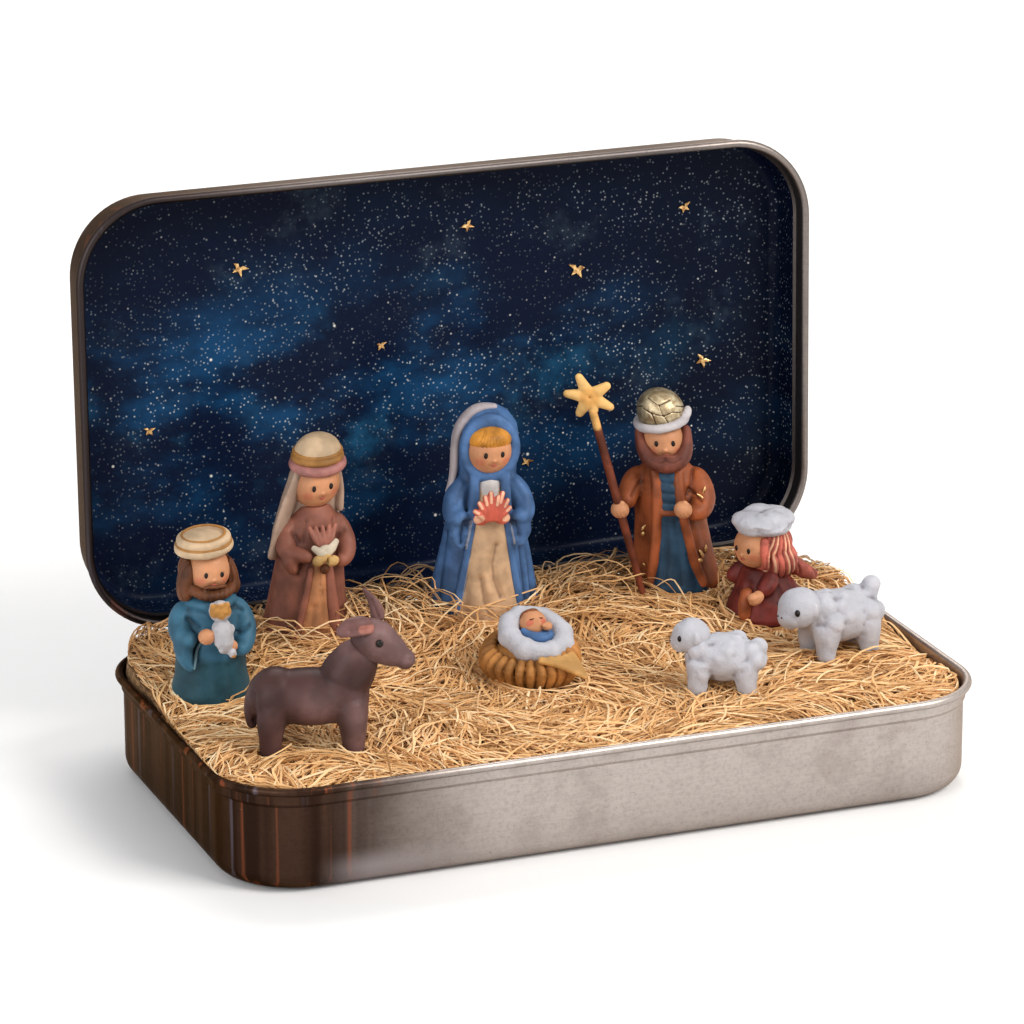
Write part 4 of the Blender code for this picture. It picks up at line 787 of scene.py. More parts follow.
# %% Straw finish
straw_finish = Finish("golden_straw", (0.6, 0.4, 0.2), 0.62)
where = straw_finish.place()
tone = straw_finish.attribute("tone")
ramp = {"stops": ((0.0, (0.34, 0.16, 0.05)), (0.22, (0.68, 0.36, 0.13)), (0.6, (0.90, 0.55, 0.245)),
                  (1.0, (1.0, 0.80, 0.50)))}
shade_of = straw_finish.noise(where, 7.0, 3.0)
gold = straw_finish.node("ShaderNodeValToRGB", ramp, {0: 0.85 * tone + 0.5 * shade_of - 0.2})
# Painted shade: the straw turns darker and browner towards the lid.
rear_shaded = straw_finish.axis(where, "Y").over(10.0, 24.0)
brown = straw_finish.mix(0.62, gold, (0.16, 0.085, 0.035), "MULTIPLY")
gold_in_shade = straw_finish.mix(rear_shaded * 0.85, gold, brown)
fleck = straw_finish.noise(straw_finish.place(), 0.35, 3.0)
flecked = straw_finish.mix(fleck.over(0.55, 0.8) * 0.25, gold_in_shade, (0.35, 0.18, 0.07))
straw_finish.put(straw_finish.shader, {"Base Color": flecked, "Roughness": 0.55 + 0.2 * fleck})
straw_finish.bump(fleck, 0.03)

# %% The matted bed below
deselect()
bpy.ops.mesh.primitive_grid_add(x_subdivisions=110, y_subdivisions=64, size=2.0)
mat = bpy.context.object
co = points_of(mat)[:, :2]
reach = np.maximum(np.abs(co).max(axis=1, keepdims=True), 1e-6)
edge_x, edge_y = keep_inside(*(co / reach * (BED_X, BED_Y)).T, 0.0)
x, y = edge_x * reach[:, 0], edge_y * reach[:, 0]
lumps = 0.25 * np.sin(2.1 * x + 1.3 * y) * np.cos(1.7 * y - 0.6 * x)
lumps = lumps + 0.15 * np.sin(5.0 * x) * np.sin(4.3 * y)
move_points(mat, np.stack([x, y, straw_top(x, y) - MAT_SINK + lumps], axis=1) * MM)
modify(mat, "SOLIDIFY", thickness=MAT_THICK * MM, offset=-1.0)
settle(mat, "straw_mat")
shade(mat)
# Painted shade: the bed under the shreds is coloured dark as the shade deep in the straw.
mat_finish = Finish("shaded_straw_bed", (0.2, 0.1, 0.04), 0.85)
where = mat_finish.place((1.0, 0.35, 1.0))
fine = mat_finish.noise(where, 0.5, 5.0, 0.7)
deep_shade_colour = mat_finish.mix(fine.over(0.35, 0.7), (0.10, 0.045, 0.016), (0.42, 0.23, 0.09))
mat_finish.put(mat_finish.shader, {"Base Color": deep_shade_colour})
mat_finish.bump(fine, 0.3)
finish_piece(mat, "tin_base", mat_finish, "straw", "straw_bed")

# %% Laying the shreds
rng = np.random.default_rng(5)
BANDS = (("straw_front", -25.0, -8.0, 3000), ("straw_middle", -8.0, 9.0, 2800),
    ("straw_back", 9.0, 25.0, 2200))
for name, low_y, high_y, count in BANDS:
    layer = shreds(name, shred_lines(rng, count, low_y, high_y), rng)
    finish_piece(layer, "tin_base", straw_finish, "straw")
# Loose loops: how many, between which Y and which X, and how they lift, lie, reach and curl.
LOOPS = ((150, 12.0, 25.0, -36.0, 27.0, (1.0, 3.2), (-0.4, 0.4), (7.0, 14.0), 0.22),
         (80, 15.0, 25.0, -20.0, -7.0, (1.5, 4.6), (-0.4, 0.6), (8.0, 15.0), 0.26),
         (50, 16.0, 25.0, 7.0, 18.0, (1.2, 3.6), (-0.4, 0.6), (8.0, 14.0), 0.26),
         (150, -24.0, 12.0, -44.0, 44.0, (0.6, 1.5), (-0.2, 0.4), (7.0, 15.0), 0.18),
         (320, 23.2, 25.0, -43.0, 43.0, (0.5, 1.3), (-0.1, 0.8), (5.0, 11.0), 0.10))
loops = np.concatenate([shred_lines(rng, *row) for row in LOOPS])
finish_piece(shreds("straw_loops", loops, rng, (0.06, 0.125)), "tin_base", straw_finish, "straw")
print("straw: 4 layers,", sum(band[3] for band in BANDS) + len(loops), "shreds")

# %% [markdown]
# ## Working in clay
#
# The figures are pressed from lumps of coloured modelling clay, so they are made the same way here. Each
# lump starts as balls, rolled coils and drawn-up stacks, which are pushed together. A voxel remesh melts
# them into one skin and a Smooth modifier takes the steps off, as a wet finger would. Folds are then
# pressed in with strokes that are drawn as seen from one side. All of this is done in millimetres round
# the figure's own foot, and the lump is stood in its place in the tin at the end.

# %% Balls and stacks
# Where each figure's foot stands, how far it is turned, and how far it leans to its side as it rises.
STATIONS = {"shepherd": (-39.3, 6.2, 12.908, -5, 0.0), "veiled_figure": (-23.5, 18.5, 14.40, 0, 0.085),
            "mother": (-0.3, 18.7, 14.398, -12, 0.025), "king": (25.3, 18.7, 14.555, -22, -0.09),
            "kneeling_figure": (32.5, 7.5, 13.187, -82, 0.0), "donkey": (-33.2, -12.5, 11.22, 69, 0.0),
            "manger": (-1.3, -1.8, 11.586, -38, 0.0), "small_lamb": (18.1, -11.9, 11.491, -112, 0.0),
            "large_lamb": (36.5, -5.0, 11.572, -81, 0.0)}
STACK_SIDES = 44


def ball(centre, radii, turn=(0, 0, 0)):
    """A ball of clay pressed to an egg: radii along X, Y and Z, then turned, in degrees."""
    deselect()
    bpy.ops.mesh.primitive_uv_sphere_add(segments=28, ring_count=18, location=centre,
                                         rotation=[math.radians(a) for a in turn])
    egg = bpy.context.object
    egg.scale = (radii,) * 3 if isinstance(radii, (int, float)) else radii
    return settle(egg, "ball")


def ring(centre, across, deep, thick, turn=(0, 0, 0), squash=1.0):
    """A coil closed to a ring, such as a brim or a collar."""
    deselect()
    bpy.ops.mesh.primitive_torus_add(major_radius=across, minor_radius=thick, major_segments=48,
        minor_segments=14,
                                     location=centre, rotation=[math.radians(a) for a in turn])
    loop = bpy.context.object
    loop.scale = (1.0, deep / across, squash)
    return settle(loop, "ring")


def stack(levels):
    """A standing form drawn up level by level: (height, half width, half depth, shift in Y)."""
    deselect()
    bottom, width, depth, shift = levels[0]
    bpy.ops.mesh.primitive_circle_add(vertices=STACK_SIDES, radius=1.0, fill_type="NGON",
                                      location=(0.0, shift, bottom))
    form = bpy.context.object
    form.scale = (width, depth, 1.0)
    settle(form, "stack")
    bpy.ops.object.mode_set(mode="EDIT")
    bpy.ops.mesh.select_all(action="SELECT")
    for (z0, w0, d0, y0), (z1, w1, d1, y1) in zip(levels, levels[1:]):
        bpy.ops.mesh.extrude_region_move(TRANSFORM_OT_translate={"value": (0.0, y1 - y0, z1 - z0)})
        bpy.ops.transform.resize(value=(w1 / w0, d1 / d0, 1.0), center_override=(0.0, y1, z1))
    turn_outwards()
    return form


print("figures to make:", len(STATIONS))


# %% Coils and straps
def along(points, share):
    """Places on a smooth line: its corners are cut three times, and it is read at shares of its length."""
    line = np.array(points, float)
    for _ in range(3):
        cut = np.stack([0.75 * line[:-1] + 0.25 * line[1:], 0.25 * line[:-1] + 0.75 * line[1:]], axis=1)
        line = np.concatenate([line[:1], cut.reshape(-1, 3), line[-1:]])
    gone = np.concatenate([[0.0], np.cumsum(np.linalg.norm(np.diff(line, axis=0), axis=1))])
    return np.stack([np.interp(share * gone[-1], gone, axis) for axis in line.T], axis=1), gone[-1]


def coil(points, wide, deep=None, up=(0.0, 0.0, 1.0), blunt=1.0):
    """A ball that is rolled out along a line, or flattened to a strap that is deep along up.

    Its half widths are given at even steps of the line. Its ends stay round, or are cut more bluntly.
    """
    deselect()
    bpy.ops.mesh.primitive_uv_sphere_add(segments=18, ring_count=30)
    rolled = bpy.context.object
    co = points_of(rolled)
    share = np.clip(0.5 * (1 - co[:, 2]), 0.0, 1.0)
    round_it = np.arctan2(co[:, 1], co[:, 0])
    line, length = along(points, share)
    ahead = along(points, np.minimum(share + 0.01, 1.0))[0] - along(points,
        np.maximum(share - 0.01, 0.0))[0]
    ahead /= np.linalg.norm(ahead, axis=1, keepdims=True)
    side = np.cross(ahead, up)
    side /= np.maximum(np.linalg.norm(side, axis=1, keepdims=True), 1e-6)
    over = np.cross(side, ahead)
    steps = np.linspace(0.0, 1.0, len(wide))
    width = np.interp(share, steps, wide)
    depth = width if deep is None else np.interp(share, np.linspace(0.0, 1.0, len(deep)), deep)
    near_end = np.minimum(share, 1 - share) * length / (blunt * np.minimum(width, depth))
    cap = np.sqrt(1 - (1 - np.clip(near_end, 0.0, 1.0)) ** 2)
    reach = (cap * width * np.cos(round_it))[:, None] * side + (cap * depth * np.sin(round_it))[:,
        None] * over
    move_points(rolled, line + reach)
    turn_outwards()
    return rolled


# %% Melting lumps together and pressing folds
VIEWS = {"front": (0, 2, (0, -1, 0)), "back": (0, 2, (0, 1, 0)), "left": (1, 2, (-1, 0, 0)),
         "right": (1, 2, (1, 0, 0)), "top": (0, 1, (0, 0, 1))}


def lump(name, pieces, voxel, smooth):
    """Pushes pieces of clay together into one skin."""
    body = join(name, pieces)
    modify(body, "REMESH", mode="VOXEL", voxel_size=voxel)
    modify(body, "SMOOTH", factor=0.5, iterations=smooth)
    return body


def normals_of(obj):
    """The direction that each point faces."""
    normals = np.empty(3 * len(obj.data.vertices))
    obj.data.vertices.foreach_get("normal", normals)
    return normals.reshape(-1, 3)


def stroke(obj, view, points, width, soft=True):
    """How strongly a tool that is drawn over points, seen from one side, touches each point of a lump."""
    first, second, facing = VIEWS[view]
    co = points_of(obj)[:, (first, second)]
    line = np.array(points, float)
    nearest = np.full(len(co), 1e9)
    for a, b in zip(line[:-1], line[1:]):
        step = b - a
        share = np.clip(((co - a) @ step) / max(step @ step, 1e-9), 0.0, 1.0)
        nearest = np.minimum(nearest, np.linalg.norm(co - a - share[:, None] * step, axis=1))
    touch = np.exp(-(nearest / width) ** 2) if soft else np.clip(1.5 - nearest / width, 0.0, 1.0)
    return touch * np.clip((normals_of(obj) @ np.array(facing, float)) / 0.35, 0.0, 1.0)


def press(obj, *strokes):
    """Presses grooves, or raises ridges where the depth is below zero: (view, points, width, depth)."""
    for view, points, width, depth in strokes:
        touch = stroke(obj, view, points, width)
        move_points(obj, points_of(obj) - normals_of(obj) * (depth * touch)[:, None])


def paint(obj, *strokes):
    """Rubs a second colour in along strokes: (view, points, width)."""
    colour = np.zeros(len(obj.data.vertices))
    for view, points, width in strokes:
        colour = np.maximum(colour, stroke(obj, view, points, width, soft=False))
    set_values(obj, "tint", np.clip(colour, 0.0, 1.0))


def dimple(obj, count, size, depth, seed):
    """Leaves the marks of fingertips at random places."""
    rng = np.random.default_rng(seed)
    co, normals = points_of(obj), normals_of(obj)
    push = np.zeros(len(co))
    for spot, wide, deep in zip(co[rng.integers(0, len(co), count)], rng.uniform(0.7, 1.3, count) * size,
                                rng.uniform(0.4, 1.0, count) * depth):
        push += deep * np.exp(-((co - spot) ** 2).sum(axis=1) / wide ** 2)
    move_points(obj, co - normals * push[:, None])


print("strokes can be drawn from:", ", ".join(VIEWS))


# %% Rows of strokes
def fan(view, places, high, low, spread, width, depth):
    """Strokes side by side that run down from one height to another and spread as they go."""
    return [(view, ((x, high), (spread * x, low)), width, depth) for x in places]


def both_sides(points, width, depth):
    """The same stroke seen from the left and from the right."""
    return [(view, points, width, depth) for view in ("left", "right")]


def pose(centre, *turns, scale=1.0):
    """A place: moved, then turned about each named axis by its degrees, then sized."""
    place = Matrix.Translation(centre)
    for axis, angle in turns:
        place = place @ Matrix.Rotation(math.radians(angle), 4, axis)
    return place @ Matrix.Scale(scale, 4)


# %% Standing a lump in the tin
def set_relief(obj, rounds=10):
    """Stores how hollow a lump is at each point: above zero in a crease, below zero on a ridge."""
    ends = np.empty(2 * len(obj.data.edges), int)
    obj.data.edges.foreach_get("vertices", ends)
    first = np.concatenate([ends[0::2], ends[1::2]])
    second = np.concatenate([ends[1::2], ends[0::2]])
    co = points_of(obj)
    links = np.maximum(np.bincount(first, minlength=len(co)), 1)
    flat = co.copy()
    for _ in range(rounds):
        flat = np.stack([np.bincount(first, axis[second], len(co)) / links for axis in flat.T], axis=1)
    set_values(obj, "hollow", ((flat - co) * normals_of(obj)).sum(axis=1))


def stand(obj, figure, clay_name, *nodes):
    """Moves a lump from its own millimetres to its figure's place, and finishes it."""
    finish, slot = CLAYS[clay_name]
    set_relief(obj)
    x, y, z, turn, lean = STATIONS[figure]
    place = Matrix.Translation((x * MM, y * MM, z * MM)) @ Matrix.Rotation(math.radians(turn), 4, "Z")
    obj.data.transform(place @ Matrix.Shear("XY", 4, (lean, 0.0)) @ Matrix.Scale(MM, 4))
    shade(obj, 60)
    finish_piece(obj, figure, finish, slot, *nodes)


def model(name, figure, clay_name, nodes, melt, pieces, grooves=(), rubbed=(), dents=None):
    """A whole piece: melted at (voxel, smoothing rounds), pressed, rubbed, dented and stood in place."""
    obj = lump(name, pieces, *melt)
    press(obj, *grooves)
    if rubbed:
        paint(obj, *rubbed)
    if dents:
        dimple(obj, *dents)
    stand(obj, figure, clay_name, *nodes)


# %% [markdown]
# Baked modelling clay has a soft sheen. Its colour is a little uneven where two batches were kneaded
# together, creases are darkened as painted shade and ridges lightened as painted highlight, and its skin
# has fine finger lines and pits.

# %% Clay finishes
def clay(name, colour, second=None, roughness=0.5, grain=0.03, mottle=0.12):
    """Baked clay. Second is a colour that shows where the lump's tint is 1: a rubbed-in colour, or on some
    lumps painted shade or painted light.
    """
    skin = Finish(name, colour, roughness, **{"Specular IOR Level": 0.22})
    where = skin.place()
    batch = skin.noise(where, 3.2, 3.0, 0.55)
    fine = skin.noise(where, 0.32, 4.0, 0.65)
    hollow = skin.attribute("hollow")
    body = colour if second is None else skin.mix(skin.attribute("tint").over(0.25, 0.75), colour, second)
    low, high = 1 - 2.4 * mottle, 1 + 1.2 * mottle
    kneaded = skin.mix(batch.over(0.35, 0.65), (low, low, low), (high, high, high))
    base = skin.mix(1.0, body, kneaded, "MULTIPLY")
    # Painted shade in the creases, and painted highlight on the ridges.
    crease_shaded = skin.tinted(hollow.over(0.008, 0.11) * 0.75, base, base, (0.34, 0.28, 0.28))
    ridge_highlighted = skin.tinted((1 - hollow.over(-0.10, -0.01)) * 0.5, crease_shaded, base, (1.35, 1.32, 1.3))
    skin.put(skin.shader, {"Base Color": ridge_highlighted, "Roughness": (roughness - 0.06) + 0.14 * fine})
    skin.bump(fine + batch * 0.5, grain)
    return skin


# %% The palette
# For each clay: its slot, its colour, the second colour where its tint is (rubbed in, or painted shade on
# the shepherd's skirt and painted light on the donkey), roughness, grain and mottle.
PALETTE = {
    "skin_clay": ("skin_clay", (0.56, 0.255, 0.125), (0.55, 0.15, 0.085), 0.46, 0.015, 0.06),
    "eye_clay": ("brown_clay", (0.012, 0.008, 0.007), None, 0.22, 0.005),
    "lip_clay": ("rosy_clay", (0.42, 0.09, 0.07), None, 0.4, 0.01),
    "shepherd_blue": ("steel_blue_clay", (0.034, 0.112, 0.175), (0.017, 0.062, 0.085), 0.5, 0.03, 0.14),
    "sleeve_highlight_clay": ("steel_blue_clay", (0.13, 0.215, 0.25), None, 0.5, 0.02, 0.12),
    "brown_hair": ("brown_clay", (0.10, 0.033, 0.012), None, 0.5, 0.03, 0.2),
    "cream_cloth": ("cream_clay", (0.52, 0.37, 0.23), None, 0.55, 0.02, 0.10),
    "ochre_clay": ("basket_clay", (0.32, 0.15, 0.04), None, 0.5, 0.02, 0.12),
    "held_lamb_wool": ("white_clay", (0.46, 0.45, 0.47), (0.42, 0.20, 0.05), 0.7, 0.05, 0.05),
    "rose_clay": ("rose_clay", (0.235, 0.086, 0.056), None, 0.5, 0.03, 0.12),
    "tan_clay": ("tan_clay", (0.45, 0.195, 0.085), None, 0.5, 0.03, 0.14),
    "pleat_clay": ("rose_clay", (0.36, 0.135, 0.092), None, 0.5, 0.03, 0.12),
    "mauve_clay": ("mauve_clay", (0.36, 0.155, 0.135), None, 0.5, 0.02, 0.12),
    "veil_clay": ("cream_clay", (0.34, 0.235, 0.175), None, 0.55, 0.02, 0.10),
    "gift_clay": ("cream_clay", (0.52, 0.32, 0.12), None, 0.5, 0.02, 0.12),
    "linen_clay": ("white_clay", (0.56, 0.48, 0.36), None, 0.55, 0.02, 0.08),
    "mantle_blue": ("cornflower_clay", (0.060, 0.132, 0.285), (0.30, 0.33, 0.42), 0.5, 0.03, 0.14),
    "layer_clay": ("white_clay", (0.37, 0.32, 0.33), None, 0.52, 0.02, 0.08),
    "dress_clay": ("cream_clay", (0.56, 0.36, 0.21), (0.56, 0.52, 0.50), 0.52, 0.03, 0.10),
    "golden_hair": ("golden_clay", (0.52, 0.215, 0.03), None, 0.42, 0.03, 0.2),
    "rosy_clay": ("rosy_clay", (0.56, 0.115, 0.075), (0.76, 0.42, 0.27), 0.45, 0.02, 0.12),
    "rust_clay": ("rust_clay", (0.275, 0.072, 0.024), None, 0.46, 0.03, 0.16),
    "navy_clay": ("navy_clay", (0.018, 0.052, 0.095), None, 0.5, 0.03, 0.16),
    "beard_clay": ("mauve_clay", (0.155, 0.045, 0.028), None, 0.52, 0.04, 0.16),
    "white_clay": ("white_clay", (0.47, 0.44, 0.45), None, 0.6, 0.04, 0.06),
    "staff_clay": ("brown_clay", (0.145, 0.034, 0.015), (0.58, 0.32, 0.10), 0.45, 0.02, 0.2),
    "star_clay": ("golden_clay", (0.64, 0.385, 0.135), (0.58, 0.30, 0.085), 0.5, 0.02, 0.14),
    "maroon_clay": ("maroon_clay", (0.135, 0.022, 0.017), None, 0.5, 0.03, 0.2),
    "hair_cloth": ("pink_clay", (0.44, 0.105, 0.072), (0.66, 0.36, 0.22), 0.48, 0.04, 0.2),
    "wool_clay": ("white_clay", (0.475, 0.475, 0.515), None, 0.8, 0.10, 0.03),
    "donkey_clay": ("donkey_clay", (0.050, 0.021, 0.019), (0.165, 0.090, 0.085), 0.46, 0.015, 0.12),
    "ear_pink": ("donkey_clay", (0.13, 0.060, 0.055), (0.30, 0.115, 0.085), 0.46, 0.015, 0.12),
    "basket_clay": ("basket_clay", (0.43, 0.185, 0.048), None, 0.5, 0.04, 0.16),
    "leaf_clay": ("basket_clay", (0.56, 0.30, 0.095), None, 0.5, 0.03, 0.12),
    "child_hair": ("brown_clay", (0.24, 0.082, 0.03), None, 0.5, 0.03, 0.2),
}
CLAYS = {name: (clay(name, *look), slot) for name, (slot, *look) in PALETTE.items()}
CLAYS["gold_flake"] = (flake_gold, "gold_leaf")
print("clays:", len(CLAYS))


# %% Heads with a plain doll's face
def head(figure, name, centre, radius, tilt, node, eyes=0.0):
    """A ball with a small nose, blushed cheeks, two dot eyes and a short mouth."""
    turn = pose(centre, ("Z", tilt[2]), ("X", tilt[0]), ("Y", tilt[1]), scale=radius)
    level = 0.03 + eyes
    skull, nose = ball((0, 0, 0), (1.0, 0.97, 1.0)), ball((0, -0.94, -0.20), (0.085, 0.09, 0.075))
    face = lump(name, [skull, nose], 0.045, 3)
    press(face, *[("front", ((0.30 * side, level), (0.42 * side, level)), 0.16, 0.03) for side in (-1, 1)],
          ("front", ((-0.16, -0.43), (0.16, -0.43)), 0.10, 0.03))
    paint(face, *[("front", ((0.58 * side, -0.28), (0.54 * side, -0.28)), 0.2) for side in (-1, 1)])
    blush = np.empty(len(face.data.vertices), np.float32)
    face.data.attributes["tint"].data.foreach_get("value", blush)
    set_values(face, "tint", 0.25 + 0.28 * blush)
    dots = []
    for side in (-1, 1):
        x = 0.36 * side
        depth = math.sqrt(max(0.93 - x * x - level * level, 0.0)) - 0.005
        dots.append(ball((x, -depth, level), (0.085, 0.045, 0.13)))
    mouth = coil(((-0.12, -0.87, -0.415), (0.0, -0.885, -0.445), (0.12, -0.87, -0.415)),
        (0.02, 0.034, 0.02),
                 (0.03, 0.04, 0.03))
    dots = join(name + "_eyes", dots)
    for piece in (face, dots, mouth):
        piece.data.transform(turn)
    mouth.name = name + "_mouth"
    stand(face, figure, "skin_clay", node)
    stand(dots, figure, "eye_clay")
    stand(mouth, figure, "lip_clay")


def mitten(name, figure, centre, radius, turn=(0.0, 0.0, 0.0), nodes=()):
    """A small round hand with the fingers marked by three strokes."""
    hand = lump(name, [ball((0, 0, 0), (1.0, 0.9, 0.95)), ball((0.5, -0.25, 0.55), (0.38, 0.35, 0.42))],
        0.085, 3)
    press(hand, *[("front", ((x, -0.75), (x, -0.2)), 0.09, 0.05) for x in (-0.45, -0.08, 0.30)])
    hand.data.transform(pose(centre, *zip("XYZ", turn), scale=radius))
    stand(hand, figure, "skin_clay", *nodes)


def front_of(obj, x, z, reach=0.25):
    """The foremost point of a lump near a place that is seen from the front."""
    co = points_of(obj)
    near = co[(np.abs(co[:, 0] - x) < reach) & (np.abs(co[:, 2] - z) < reach)]
    return (x, near[:, 1].min(), z)


print("faces and hands ready")

# %% [markdown]
# ## The shepherd
#
# A squat robe in grey blue with a soft cowl, wide sleeves and a lamb held to the chest. The left sleeve
# hangs open in a long drop, and the right one is creased at its elbow. Robe, cowl and sleeves are one
# lump, and the skirt below the sleeves is painted a darker, greener blue, mostly as painted shade. A pale
# coil along the open sleeve's edge is a painted highlight.

# %% Shepherd's robe
robe = lump("shepherd_robe_lump", [
    stack(((0.0, 4.5, 3.7, 0.0), (0.8, 4.75, 3.9, 0.0), (3.2, 4.35, 3.65, 0.0), (6.2, 4.1, 3.5, 0.0),
        (8.8, 4.1, 3.4, 0.0), (10.8, 3.7, 3.0, 0.0), (12.2, 2.9, 2.5, 0.0), (13.2, 1.9, 1.9, 0.0))),
    ring((0.0, -0.2, 12.2), 2.4, 2.25, 0.8, (8, 0, 0)),
    coil(((1.6, -2.5, 12.2), (0.6, -3.2, 11.2), (-0.9, -2.9, 11.5)), (0.5, 0.8, 0.4)),
    coil(((2.3, 0.3, 11.6), (3.6, -0.7, 10.3), (3.9, -2.0, 8.2), (3.0, -3.4, 6.6), (2.2, -4.1, 7.1)),
        (1.15, 1.35, 1.4, 1.25, 0.85)),
    coil(((-2.3, 0.3, 11.6), (-3.9, -0.9, 10.3), (-4.1, -2.6, 8.5), (-2.6, -4.2, 8.1)),
        (1.15, 1.35, 1.35, 1.1)),
    coil(((-3.5, -2.6, 8.8), (-3.9, -3.1, 7.0), (-3.5, -3.7, 5.4), (-2.9, -3.9, 4.6)),
        (1.3, 1.3, 1.0, 0.35),
        (1.4, 1.25, 0.9, 0.35), (1, 0, 0))], 0.16, 7)
press(robe,
    ("front", ((2.7, 8.6), (4.2, 9.3)), 0.25, 0.28),
    ("front", ((1.1, 10.8), (2.6, 11.4), (3.4, 11.0)), 0.28, 0.25),
    ("front", ((-1.9, 9.6), (-3.1, 10.6)), 0.3, 0.22), ("front", ((-2.1, 7.8), (-2.6, 5.8)), 0.35, 0.45),
    ("front", ((-1.3, 4.6), (-1.0, 0.8)), 0.5, 0.12), ("front", ((1.5, 4.6), (1.8, 0.8)), 0.5, 0.14),
    ("left", ((0.6, 9.0), (0.9, 3.0)), 0.6, 0.2), ("right", ((0.8, 9.0), (0.6, 2.0)), 0.6, 0.2),
    *fan("back", (-1.8, 0.3, 2.2), 10.0, 1.0, 1.1, 0.6, 0.2))
dimple(robe, 40, 0.8, 0.05, 1)
# Painted shade: the skirt below the sleeves is darker and greener, leaving out the hanging sleeve.
co = points_of(robe)
hanging = (np.clip((-1.9 - co[:, 0]) / 0.5, 0, 1) * np.clip((-2.4 - co[:, 1]) / 0.8, 0, 1)
    * np.clip((co[:, 2] - 4.0) / 0.8, 0, 1))
set_values(robe, "tint", (1 - hanging) * np.clip((6.4 - co[:, 2]) / 1.8, 0.0, 1.0))
# Painted highlight: a pale coil along the open sleeve's edge.
highlight_line = [front_of(robe, x, z) for x, z in ((-1.7, 7.9), (-2.2, 6.9), (-2.6, 5.8), (-2.9, 4.9))]
model("shepherd_sleeve_edge", "shepherd", "sleeve_highlight_clay", [], (0.06, 2), [coil(highlight_line, (0.13, 0.2, 0.2, 0.13))])
stand(robe, "shepherd", "shepherd_blue", "shepherd_robe", "shepherd_sleeve_left",
    "shepherd_sleeve_right")
print("robe faces:", len(robe.data.polygons))

# %% Shepherd's head, hair, turban and lamb
head("shepherd", "shepherd_face", (-0.2, -0.35, 15.75), 2.7, (0.0, 3.0, 6.0), "shepherd_head", -0.02)
model("shepherd_locks", "shepherd", "brown_hair", ["shepherd_hair_and_beard"], (0.12, 4), [
    ball((-0.2, 0.9, 15.5), (3.25, 2.6, 2.9)), ball((-3.0, -0.9, 14.9), (0.95, 1.5, 2.6), (0, 10, 0)),
    ball((-3.0, -1.2, 13.6), (0.9, 1.1, 1.2)), ball((2.75, -0.9, 13.9), (0.8, 1.0, 1.1)),
    ball((2.65, -0.6, 14.9), (0.75, 1.3, 2.4), (0, -10, 0)),
    coil(((-2.6, -1.5, 14.2), (-1.7, -2.6, 13.5), (0.0, -3.0, 13.2), (1.7, -2.55, 13.5), (2.6, -1.4, 14.2)),
        (0.7, 0.72, 0.7, 0.72, 0.65), (0.6, 0.65, 0.65, 0.65, 0.55)),
    coil(((-1.3, -2.85, 14.3), (-0.5, -3.15, 14.55), (0.1, -3.1, 14.35), (0.7, -3.15, 14.55),
        (1.5, -2.8, 14.3)), (0.2, 0.30, 0.24, 0.30, 0.2))],
    grooves=[*fan("front", (-2.2, -1.5, -0.8, -0.2, 0.5, 1.1, 1.8), 14.2, 12.6, 0.92, 0.12, 0.08),
        *[("left", ((y, 17.2), (y - 0.3, 12.8)), 0.16, 0.15) for y in (-1.6, -0.9, -0.2, 0.6, 1.4, 2.2,
            3.0)],
        *[("right", ((y, 17.2), (y - 0.3, 12.8)), 0.16, 0.15) for y in (-1.4, -0.6, 0.2, 1.0, 1.8, 2.6)],
        *fan("back", (-2.4, -1.6, -0.8, 0.0, 0.8, 1.6, 2.4), 17.6, 12.6, 1.1, 0.16, 0.15)])

model("shepherd_turban_rolls", "shepherd", "cream_cloth", ["shepherd_turban"], (0.13, 4), [
    ball((-0.5, 0.1, 19.0), (3.0, 2.9, 1.0)), ring((-0.5, 0.0, 18.6), 2.95, 2.8, 0.58, (5, -5, 0)),
    ring((-0.5, 0.0, 19.5), 2.7, 2.6, 0.54, (5, -5, 0)), ball((-0.5, 0.1, 19.75), (2.6, 2.5, 0.5))],
    dents=(30, 0.6, 0.05, 2))
model("shepherd_turban_lines", "shepherd", "ochre_clay", [], (0.10, 2),
    [ring((-0.5, 0.0, 19.05), 3.1, 2.96, 0.27, (5, -5, 0), 0.9),
        ring((-0.5, 0.02, 20.0), 2.5, 2.4, 0.2, (5, -5, 0), 0.9)])

held = lump("shepherd_held_lamb", [
    coil(((0.7, -4.9, 6.2), (0.45, -5.0, 7.6), (0.2, -5.0, 9.4), (0.1, -5.0, 10.6)),
        (0.5, 1.2, 1.25, 1.05)),
    coil(((1.1, -5.2, 6.9), (1.6, -5.3, 5.7)), (0.6, 0.42)),
    coil(((0.0, -5.2, 7.2), (0.3, -5.5, 6.4)), (0.6, 0.38)),
    ball((0.05, -5.0, 11.5), (1.35, 1.15, 1.3)), ball((1.3, -4.9, 9.2), (0.5, 0.45, 0.6)),
    ball((-0.8, -5.2, 12.3), 0.42),
    ball((0.8, -5.4, 12.3), 0.46), ball((0.0, -5.6, 12.5), 0.5), ball((-0.5, -5.8, 11.8), 0.44),
    ball((0.45, -5.85, 11.75), 0.4)], 0.11, 3)
paint(held, ("front", ((-0.8, 11.8), (0.9, 12.0)), 0.9), ("front", ((0.0, 11.2), (0.0, 11.3)), 0.5),
    ("front", ((1.6, 5.6), (1.5, 5.8)), 0.4))
dimple(held, 70, 0.3, 0.08, 3)
held.data.transform(Matrix.Translation((0.1, 0.0, 0.6)))
stand(held, "shepherd", "held_lamb_wool", "shepherd_lamb")
mitten("shepherd_palm", "shepherd", (-1.5, -4.95, 9.1), 1.0, (0, 20, 0), ["shepherd_hand"])
mitten("shepherd_far_palm", "shepherd", (1.5, -4.7, 7.6), 0.75, (0, -30, 0))
print("shepherd done")

